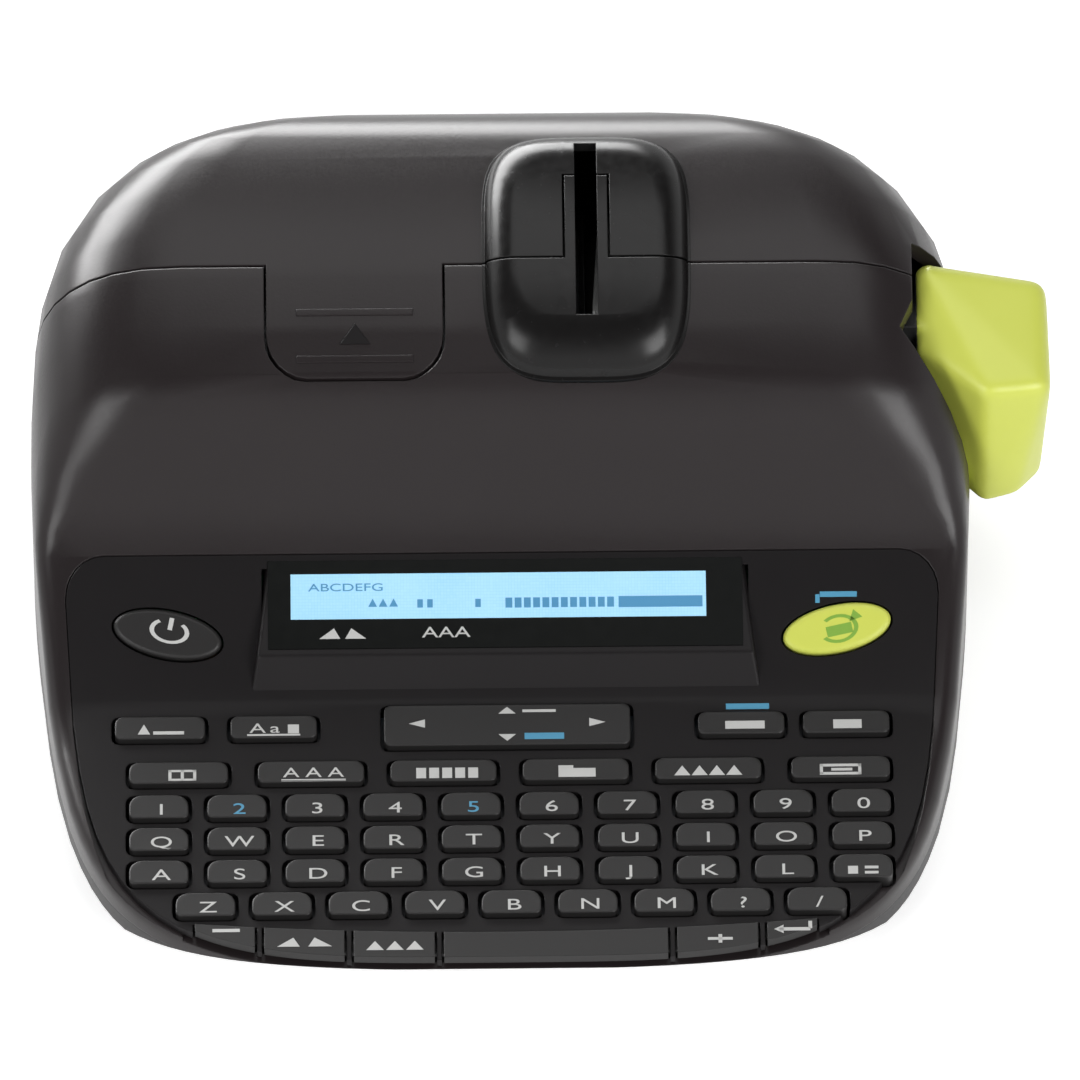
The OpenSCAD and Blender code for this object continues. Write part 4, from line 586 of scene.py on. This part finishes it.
# Cursor pad: one broad cap of the same ABS between the upper keys, with a white arrow for each way.
# The captions of its second function are drawn as plain bars, in white and blue.
PAD_X, PAD_W, PAD_D, PAD_R = 0.6, 39.9, 7.9, 1.2
ARROW_X, ARROW_LONG, ARROW_HALF = 14.6, 1.3, 0.8
pad, arrows, second = bmesh.new(), bmesh.new(), bmesh.new()
cap(pad, DECK, PAD_X, UPPER_S, PAD_W, PAD_D, PAD_R, PAD_R)
for way in (-1, 1):
    tail, tip = way * (ARROW_X - ARROW_LONG), way * (ARROW_X + ARROW_LONG)
    stamp(arrows, on_caps, PAD_X, UPPER_S + 0.3, [((tail, -ARROW_HALF), (tip, 0), (tail, ARROW_HALF))])
stamp(arrows, on_caps, PAD_X, UPPER_S, peaks([0], 1.4, 2.1, 3.4) + peaks([0], 1.4, -1.9, -3.2))
stamp(arrows, on_caps, PAD_X, UPPER_S, [(5.2, 2.6, 5.4, 0.5)])
stamp(second, on_caps, PAD_X, UPPER_S, [(6.0, -2.3, 6.4, 1.2)])
finish_piece("cursor_pad_cap", pad, key_abs, "cursor_pad", ["cursor_pad"])
finish_piece("cursor_pad_arrows", arrows, white_ink, "cursor_pad")
finish_piece("cursor_pad_second", second, blue_ink, "cursor_pad")

# Front keys: six ABS caps that follow the curved front edge, the space bar in the middle.
# The solids have their shape already, so only their finish and their white signs are added.
FRONT_TOP = 0.6
dress(key_abs, *(f"front_key_{i}" for i in range(1, 7)))
for number, x, s, marks in (
        (1, -45.0, 6.4, [(0, 0, 4.4, 0.6)]),
        (2, -32.4, 4.0, [((-4.4, -0.8), (-0.8, -0.8), (-1.8, 0.9)), ((0.6, -0.8), (4.4, -0.8), (1.6, 0.9))]),
        (3, -17.9, 3.2, peaks((-3.2, 0, 3.2), 1.4, -0.8, 0.9)),
        (5, 34.4, 4.0, [(0, 0, 4.0, 0.5), (0, 0, 0.6, 1.6)]),
        (6, 47.0, 6.2, [(-0.6, -0.5, 5.0, 0.6), (1.9, 0.3, 0.6, 1.4),
                        ((-3.9, -0.5), (-2.4, -1.3), (-2.4, 0.3))])):
    legend = bmesh.new()
    stamp(legend, raised_by(DECK, FRONT_TOP), x, s, marks)
    finish_piece(f"front_key_{number}_legend", legend, white_ink, f"front_key_{number}")

# Panel printing: small blue captions over one of the upper keys and over the print button.
# They are screen-printed on the panel's satin face.
captions = bmesh.new()
stamp(captions, DECK, 39.6, UPPER_S, [(0, 3.7, 7.0, 1.1)])
stamp(captions, SLOPE, 0, 0, [(54.6, 16.4, 6.0, 0.9), (51.2, 15.7, 0.7, 1.4)])
finish_piece("panel_captions", captions, blue_ink, "case")

# Power and print buttons: oval ABS caps with a rounded rim, one black and one lime, let into the slope.
# Each carries its sign pad-printed on top, an open ring with a bar or with a slip of tape.
OVAL_X, OVAL_S, OVAL_LONG, OVAL_SHORT, OVAL_LEAN, OVAL_EDGE_R = 54.3, 10.7, 8.9, 3.9, 12, 0.8
lime_abs = moulded("lime_abs", "#d9e25c", "#e2ea6a", 0.34, 0.6, 0.06, 0.8)
green_ink = moulded("green_pad_print", "#7fb03a", "#8dbb44", 0.5, 1.0, 0.05, 0.02)


def oval_cap(name, side, material):
    shape = bmesh.new()
    bmesh.ops.create_circle(shape, cap_ends=True, segments=56, radius=1)
    bmesh.ops.scale(shape, vec=Vector((OVAL_LONG, OVAL_SHORT, 1)) * MM, verts=shape.verts)
    bmesh.ops.translate(shape, vec=Vector((0, 0, CAP_LOW)) * MM, verts=shape.verts)
    top = points_of(bmesh.ops.extrude_face_region(shape, geom=list(shape.faces))["geom"])
    bmesh.ops.translate(shape, vec=Vector((0, 0, CAP_TOP - CAP_LOW)) * MM, verts=top)
    lid = max(shape.faces, key=lambda f: f.calc_center_median().z)
    soften(shape, list(lid.edges), OVAL_EDGE_R, 5)
    bmesh.ops.recalc_face_normals(shape, faces=shape.faces)
    where = (SLOPE @ Matrix.Translation(Vector((side * OVAL_X, OVAL_S, 0)) * MM)
             @ Matrix.Rotation(math.radians(side * OVAL_LEAN), 4, "Z"))
    bmesh.ops.transform(shape, matrix=where, verts=shape.verts)
    finish_piece(name + "_cap", shape, material, name, [name])
    return raised_by(where, CAP_TOP)


def arc(shape, where, x, y, radius, width, first, last, squash, steps=20):
    turn = [math.radians(first + (last - first) * i / steps) for i in range(steps + 1)]
    rim, hub = ([(x + r * math.cos(q), y + squash * r * math.sin(q)) for q in turn]
                for r in (radius + width / 2, radius - width / 2))
    for i in range(steps):
        patch(shape, where, [rim[i], rim[i + 1], hub[i + 1], hub[i]])


on_power = oval_cap("power_button", -1, key_abs)
sign = bmesh.new()
arc(sign, on_power, 0.2, 0.5, 2.9, 0.75, -230, 50, 0.62)
stamp(sign, on_power, 0, 0, [(0.2, 1.7, 0.75, 2.0)])
finish_piece("power_sign", sign, white_ink, "power_button")
on_print = oval_cap("print_button", 1, lime_abs)
sign = bmesh.new()
arc(sign, on_print, 0.2, -0.2, 2.9, 0.7, -150, 130, 0.72)
stamp(sign, on_print, 0, 0, [(0.3, -0.4, 4.2, 1.7), ((2.2, 0.6), (4.4, 0.9), (3.2, 2.4))])
finish_piece("print_sign", sign, green_ink, "print_button")

# Cassette fittings: the tape cassette's face towards the cover has a stuck-on paper label, two acetal spool
# hubs that show how much is left, a welded lid flange and ribs where fingers pull it out.
CASSETTE = axes_at(-22.0, 55.0, 37.35, -90)  # x across, y down, z out towards the cover
LABEL_T, LABEL_X0, LABEL_X1, LABEL_HALF, LABEL_R = 0.12, -27.0, 3.5, 12.5, 1.5
RULE_X, RULE_W = -11.75, 27.5
paper = moulded("uncoated_label_paper", "#e3e0d8", "#ece9e2", 0.8, 0.5, 0.3, 0.05)
label = bmesh.new()
plate(label, FLAT, LABEL_X0, LABEL_X1, -LABEL_HALF, LABEL_HALF, 0, LABEL_T)
soften(label, upright(label), LABEL_R, 5)
bmesh.ops.transform(label, matrix=CASSETTE, verts=label.verts)
finish_piece("cassette_label", label, paper, "case")
rules = bmesh.new()
stamp(rules, raised_by(CASSETTE, LABEL_T), RULE_X, 0,
      [(0, -9.4, RULE_W, 3.4)] + [(0, y, RULE_W, 0.3) for y in (-3.5, 1.0, 5.5)])
finish_piece("cassette_label_rules", rules, blue_ink, "case")


def hub(shape, where, x, y, profile):
    first = len(shape.verts)
    corners = [shape.verts.new(Vector((x + r, y, z)) * MM) for r, z in profile]
    loop = [shape.edges.new((corners[i], corners[(i + 1) % len(corners)])) for i in range(len(corners))]
    bmesh.ops.spin(shape, geom=corners + loop, cent=Vector((x, y, 0)) * MM, axis=Vector((0, 0, 1)),
                   angle=2 * math.pi, steps=48, use_merge=True)
    shape.verts.ensure_lookup_table()
    made = shape.verts[first:]
    bmesh.ops.recalc_face_normals(shape, faces=list({f for v in made for f in v.link_faces}))
    bmesh.ops.transform(shape, matrix=where, verts=made)


HUB_X, HUB_LOW, HUB_TOP, HUB_WALL, HUB_TEETH, TOOTH_HALF, TOOTH_TOP = 17.6, -0.4, 0.8, 1.6, 6, 0.6, 0.45
hubs = bmesh.new()
for y, rim in ((-7.6, 5.4), (6.2, 6.6)):
    bore = rim - HUB_WALL
    hub(hubs, CASSETTE, HUB_X, y, [(bore, HUB_LOW), (rim, HUB_LOW), (rim, HUB_TOP - 0.3), (rim - 0.3, HUB_TOP),
                                   (bore + 0.3, HUB_TOP), (bore, HUB_TOP - 0.3)])
    for i in range(HUB_TEETH):
        tooth = (CASSETTE @ Matrix.Translation(Vector((HUB_X, y, 0)) * MM)
                 @ Matrix.Rotation(2 * math.pi * i / HUB_TEETH, 4, "Z"))
        plate(hubs, tooth, bore - 1.0, bore + 0.2, -TOOTH_HALF, TOOTH_HALF, HUB_LOW, TOOTH_TOP)
finish_piece("cassette_hubs", hubs, acetal, "case")

FLANGE_X, FLANGE_Y, FLANGE_HALF, RIB_STEP = 30.25, 16.9, 0.5, 2.2
flange = bmesh.new()
on_lid = raised_by(CASSETTE, -5.0)
plate(flange, on_lid, -FLANGE_X, FLANGE_X, -FLANGE_Y, 0.5 - FLANGE_Y, -FLANGE_HALF, FLANGE_HALF)
plate(flange, on_lid, -FLANGE_X, 0.45 - FLANGE_X, -FLANGE_Y, 16.0, -FLANGE_HALF, FLANGE_HALF)
for i in range(7):
    x = -24.0 + RIB_STEP * i
    plate(flange, on_lid, x, x + 1, -FLANGE_Y - 0.25, 0.5 - FLANGE_Y, -9.0, -2.0)
soften(flange, list(flange.edges), 0.12, 2)
finish_piece("cassette_flange", flange, polystyrene, "case")

# Latch tab: the tongue of the rear cover carries an arrow and two low grip ribs, moulded in with the dome's
# curve. They stand a tenth or two of a millimetre proud, enough for a fingertip to find.
CREST_Y, CREST_Z, DOME_RUN, DOME_DROP = 55.5, 66, 37.5, 10.0
TAB_X, ARROW_Y, RIB_YS = -23.5, 23.6, (27.4, 20.2)
RIB_HALF, RIB_DEPTH_HALF, RIB_ROOT, RIB_TOP, RIB_R = 9.5, 0.6, -0.4, 0.15, 0.13


def dome_z(y):
    return CREST_Z - DOME_DROP * max(0.0, (CREST_Y - y) / DOME_RUN) ** 2


def on_dome(x, y):
    rise = 2 * DOME_DROP * (CREST_Y - y) / DOME_RUN ** 2
    return axes_at(x, y, dome_z(y), math.degrees(math.atan(rise)))


arrow = bmesh.new()
patch(arrow, on_dome(TAB_X, ARROW_Y), [(-2.5, -1.3), (2.5, -1.3), (0, 2.3)])
finish_piece("latch_arrow", arrow, panel_abs, "rear_cover")
ribs = bmesh.new()
for y in RIB_YS:
    plate(ribs, on_dome(TAB_X, y), -RIB_HALF, RIB_HALF, -RIB_DEPTH_HALF, RIB_DEPTH_HALF, RIB_ROOT, RIB_TOP)
soften(ribs, list(ribs.edges), RIB_R, 3)
finish_piece("latch_ribs", ribs, shell_abs, "rear_cover")

# Tape exit hood: a polished black ABS cowl in two halves that part at the cover's seam, one fixed to the case
# and one to the cover, with a tongue of the front half round the slot. It is drawn as a skin over the dome,
# cut at the parting and the slot, then given its wall.
HOOD_X, HOOD_Y, HOOD_HALF, HOOD_REACH = 14.2, 37.95, 16.4, 20.65
HOOD_RISE, HOOD_LEAN, HOOD_WALL, FOOT_Z = 4.35, 5.2, 1.5, 0.2
HOOD_LIP = 0.55  # a thin lip that lies on the dome and hides the opening
SLOT_HALF, SLOT_FRONT, SLOT_BACK = 1.8, 24, 55
TONGUE_HALF, TONGUE_BACK, PARTING = 3.45, 48, 0.4
SEAM_Y, SEAM_NORMAL = 35, Vector((0, 0.894, 0.447))
polished = moulded("polished_black_abs", "#141313", "#191818", 0.25, 1.5, 0.03, 0.2, shine=0.25)


def all_of(shape):
    return list(shape.verts) + list(shape.edges) + list(shape.faces)


def signed_root(value):
    return math.copysign(abs(value) ** 0.5, value)


def hood_skin():
    shape = bmesh.new()
    levels = [(-HOOD_LIP, -1.0), (-HOOD_LIP, 0.12), (-0.1, 0.16)]
    levels += [(HOOD_LEAN * (1 - math.cos(q)), FOOT_Z + (HOOD_RISE - FOOT_Z) * math.sin(q))
               for q in (math.radians(9 * i) for i in range(1, 11))]
    levels += [(HOOD_LEAN + (HOOD_HALF - HOOD_LEAN) * k, HOOD_RISE) for k in (0.2, 0.4, 0.6, 0.8, 0.93)]
    ring = bmesh.ops.create_circle(shape, segments=96, radius=1)["verts"]
    turns = {v: math.atan2(v.co.y, v.co.x) for v in ring}
    loop = list({e for v in ring for e in v.link_edges})
    for number, (inset, rise) in enumerate(levels):
        if number:
            made = bmesh.ops.extrude_edge_only(shape, edges=loop)["geom"]
            turns = {v: turns[next(w for e in v.link_edges for w in e.verts if w in turns)]
                     for v in points_of(made)}
            loop = [e for e in made if isinstance(e, bmesh.types.BMEdge) and all(v in turns for v in e.verts)]
        half = HOOD_HALF - inset
        reach = HOOD_REACH - inset * HOOD_REACH / HOOD_HALF
        for v, q in turns.items():
            y = HOOD_Y + reach * signed_root(math.sin(q))
            v.co = Vector((HOOD_X + half * signed_root(math.cos(q)), y, dome_z(y) + rise)) * MM
    bmesh.ops.contextual_create(shape, geom=loop)
    bmesh.ops.recalc_face_normals(shape, faces=shape.faces)
    cuts = [((HOOD_X + side * half, 0, 0), Vector((1, 0, 0)))
            for half in (SLOT_HALF, TONGUE_HALF, TONGUE_HALF + PARTING) for side in (-1, 1)]
    cuts += [((0, y, 0), Vector((0, 1, 0))) for y in (SLOT_FRONT, SLOT_BACK, TONGUE_BACK, TONGUE_BACK + PARTING)]
    cuts += [((0, y, dome_z(SEAM_Y)), SEAM_NORMAL) for y in (SEAM_Y, SEAM_Y + PARTING)]
    for co, normal in cuts:
        bmesh.ops.bisect_plane(shape, geom=all_of(shape), dist=1e-7, plane_co=Vector(co) * MM, plane_no=normal)
    return shape


for name, body, front in (("exit_hood_front", "case", True), ("exit_hood_rear", "rear_cover", False)):
    skin = hood_skin()
    drop = []
    for f in skin.faces:
        c = f.calc_center_median() / MM
        across = abs(c.x - HOOD_X)
        past_seam = (c - Vector((0, SEAM_Y, dome_z(SEAM_Y)))).dot(SEAM_NORMAL)
        in_slot = across < SLOT_HALF and SLOT_FRONT < c.y < SLOT_BACK
        is_front = past_seam < 0 or (across < TONGUE_HALF and c.y < TONGUE_BACK)
        by_tongue = across < TONGUE_HALF + PARTING and c.y < TONGUE_BACK + PARTING
        is_gap = not is_front and (past_seam < PARTING * SEAM_NORMAL.y or by_tongue)
        if in_slot or is_gap or is_front != front:
            drop.append(f)
    bmesh.ops.delete(skin, geom=drop, context="FACES")
    bmesh.ops.translate(skin, vec=SHIFT, verts=skin.verts)
    finish_piece(name + "_cowl", skin, polished, body, [name], HOOD_WALL)


# Seam tongue: a thin lip moulded on the upper case that the rear cover closes over, so that no light shows
# through the joint. It has the section of the case wall at the joint, drawn in by a fraction of a millimetre.
def solid_of(node):
    shape = bmesh.new()
    shape.from_mesh(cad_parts[node].data)
    bmesh.ops.transform(shape, matrix=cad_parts[node].matrix_world, verts=shape.verts)
    bmesh.ops.remove_doubles(shape, verts=shape.verts, dist=WELD_MM * MM)
    return shape


def cut_at(shape, x, y, normal, keep_inner=False, keep_outer=False):
    made = bmesh.ops.bisect_plane(shape, geom=all_of(shape), dist=1e-7, clear_inner=not keep_inner,
                                  clear_outer=not keep_outer, plane_co=Vector((x, y, 0)) * MM + SHIFT,
                                  plane_no=Vector(normal))["geom_cut"]
    return [e for e in made if isinstance(e, bmesh.types.BMEdge)]


TONGUE_ROOT, TONGUE_REACH, TONGUE_MID_Z, TONGUE_DRAW = 0.1, 0.26, 35, Vector((0.995, 1, 0.99))
tongue = solid_of("upper_case")
rim = cut_at(tongue, 0, SEAM_Y - TONGUE_ROOT, (0, 1, 0))
bmesh.ops.delete(tongue, geom=list(tongue.faces), context="FACES_KEEP_BOUNDARY")
bmesh.ops.triangle_fill(tongue, use_beauty=True, edges=[e for e in rim if e.is_valid])
bmesh.ops.recalc_face_normals(tongue, faces=tongue.faces)
top = points_of(bmesh.ops.extrude_face_region(tongue, geom=list(tongue.faces))["geom"])
bmesh.ops.translate(tongue, vec=Vector((0, TONGUE_ROOT + TONGUE_REACH, 0)) * MM, verts=top)
bmesh.ops.recalc_face_normals(tongue, faces=tongue.faces)
middle = Vector((0, SEAM_Y, TONGUE_MID_Z)) * MM + SHIFT
bmesh.ops.scale(tongue, vec=TONGUE_DRAW, space=Matrix.Translation(-middle), verts=tongue.verts)
finish_piece("seam_tongue", tongue, panel_abs, "case")

# Cutter lever: a lime ABS thumb piece on an arm that is pinned inside the right wall; the arm, inward of the
# case's edge, is drawn in black nylon as painted shade for the gap there.
# The solid's own skin is drawn finer, and the thumb piece is rubbed round as a moulded one is.
SHADE_ARM_X, THUMB_X, SKIN_MM, THUMB_PASSES = 67.9, 70.5, 0.4, 24
coarse = bpy.data.meshes.new("lever")
lever = solid_of("cutter_lever")
lever.to_mesh(coarse)
lever.free()
maker = bpy.data.objects.new("lever", coarse)
scene.collection.objects.link(maker)
remesh = maker.modifiers.new("skin", "REMESH")
remesh.mode, remesh.voxel_size = "VOXEL", SKIN_MM * MM
fine = baked(maker)
lever = bmesh.new()
lever.from_mesh(fine)
for mesh in (coarse, fine):
    bpy.data.meshes.remove(mesh)
thumb = [v for v in lever.verts if v.co.x > THUMB_X * MM + SHIFT.x]
for verts, factor in [(thumb, 0.5)] * THUMB_PASSES + [(lever.verts, 0.4)]:
    bmesh.ops.smooth_vert(lever, verts=verts, factor=factor, use_axis_x=True, use_axis_y=True, use_axis_z=True)
# the outer half keeps the lime; the inner half is drawn black as painted shade where the lever passes under the
# case's edge
for name, material, slot, outer in (("cutter_lever_grip", lime_abs, "lime", True),
                                    ("cutter_lever_arm_painted_shade", nylon_black, "lower_shell", False)):
    half = lever.copy()
    rim = cut_at(half, SHADE_ARM_X, 0, (1, 0, 0), keep_inner=not outer, keep_outer=outer)
    bmesh.ops.triangle_fill(half, use_beauty=True, edges=rim)
    bmesh.ops.recalc_face_normals(half, faces=half.faces)
    finish_piece(name, half, material, "cutter_lever", ["cutter_lever"] if outer else [])
lever.free()

# Cutter spring: a coil of nickel-plated music wire that sends the slide back, pressed between the slide and
# the chassis. It is drawn as one rigid coil that rides with the slide.
SPRING_X0, SPRING_X1, SPRING_Y, SPRING_Z = 36.03, 47.83, 27.8, 51.9
COIL_R, WIRE_R, COIL_TURNS, COIL_STEPS, COIL_END_GAP = 1.5, 0.25, 7, 24, 0.5
coil = bmesh.new()
wire = bmesh.ops.create_circle(coil, segments=10, radius=WIRE_R * MM)["verts"]
bmesh.ops.rotate(coil, cent=(0, 0, 0), matrix=Matrix.Rotation(math.pi / 2, 3, "X"), verts=wire)
bmesh.ops.translate(coil, vec=Vector((SPRING_X0 + COIL_END_GAP, SPRING_Y, SPRING_Z + COIL_R)) * MM, verts=wire)
run = (SPRING_X1 - SPRING_X0 - 2 * COIL_END_GAP) / (COIL_TURNS * COIL_STEPS)
bmesh.ops.spin(coil, geom=list(coil.verts) + list(coil.edges), cent=Vector((SPRING_X0, SPRING_Y, SPRING_Z)) * MM,
               axis=Vector((1, 0, 0)), dvec=Vector((run, 0, 0)) * MM, angle=2 * math.pi * COIL_TURNS,
               steps=COIL_TURNS * COIL_STEPS)
bmesh.ops.holes_fill(coil, edges=list(coil.edges))
bmesh.ops.recalc_face_normals(coil, faces=coil.faces)
bmesh.ops.translate(coil, vec=SHIFT, verts=coil.verts)
spring = finish_piece("cutter_spring_coil", coil, nickel, "cutter_slide", ["cutter_spring"])
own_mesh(spring)
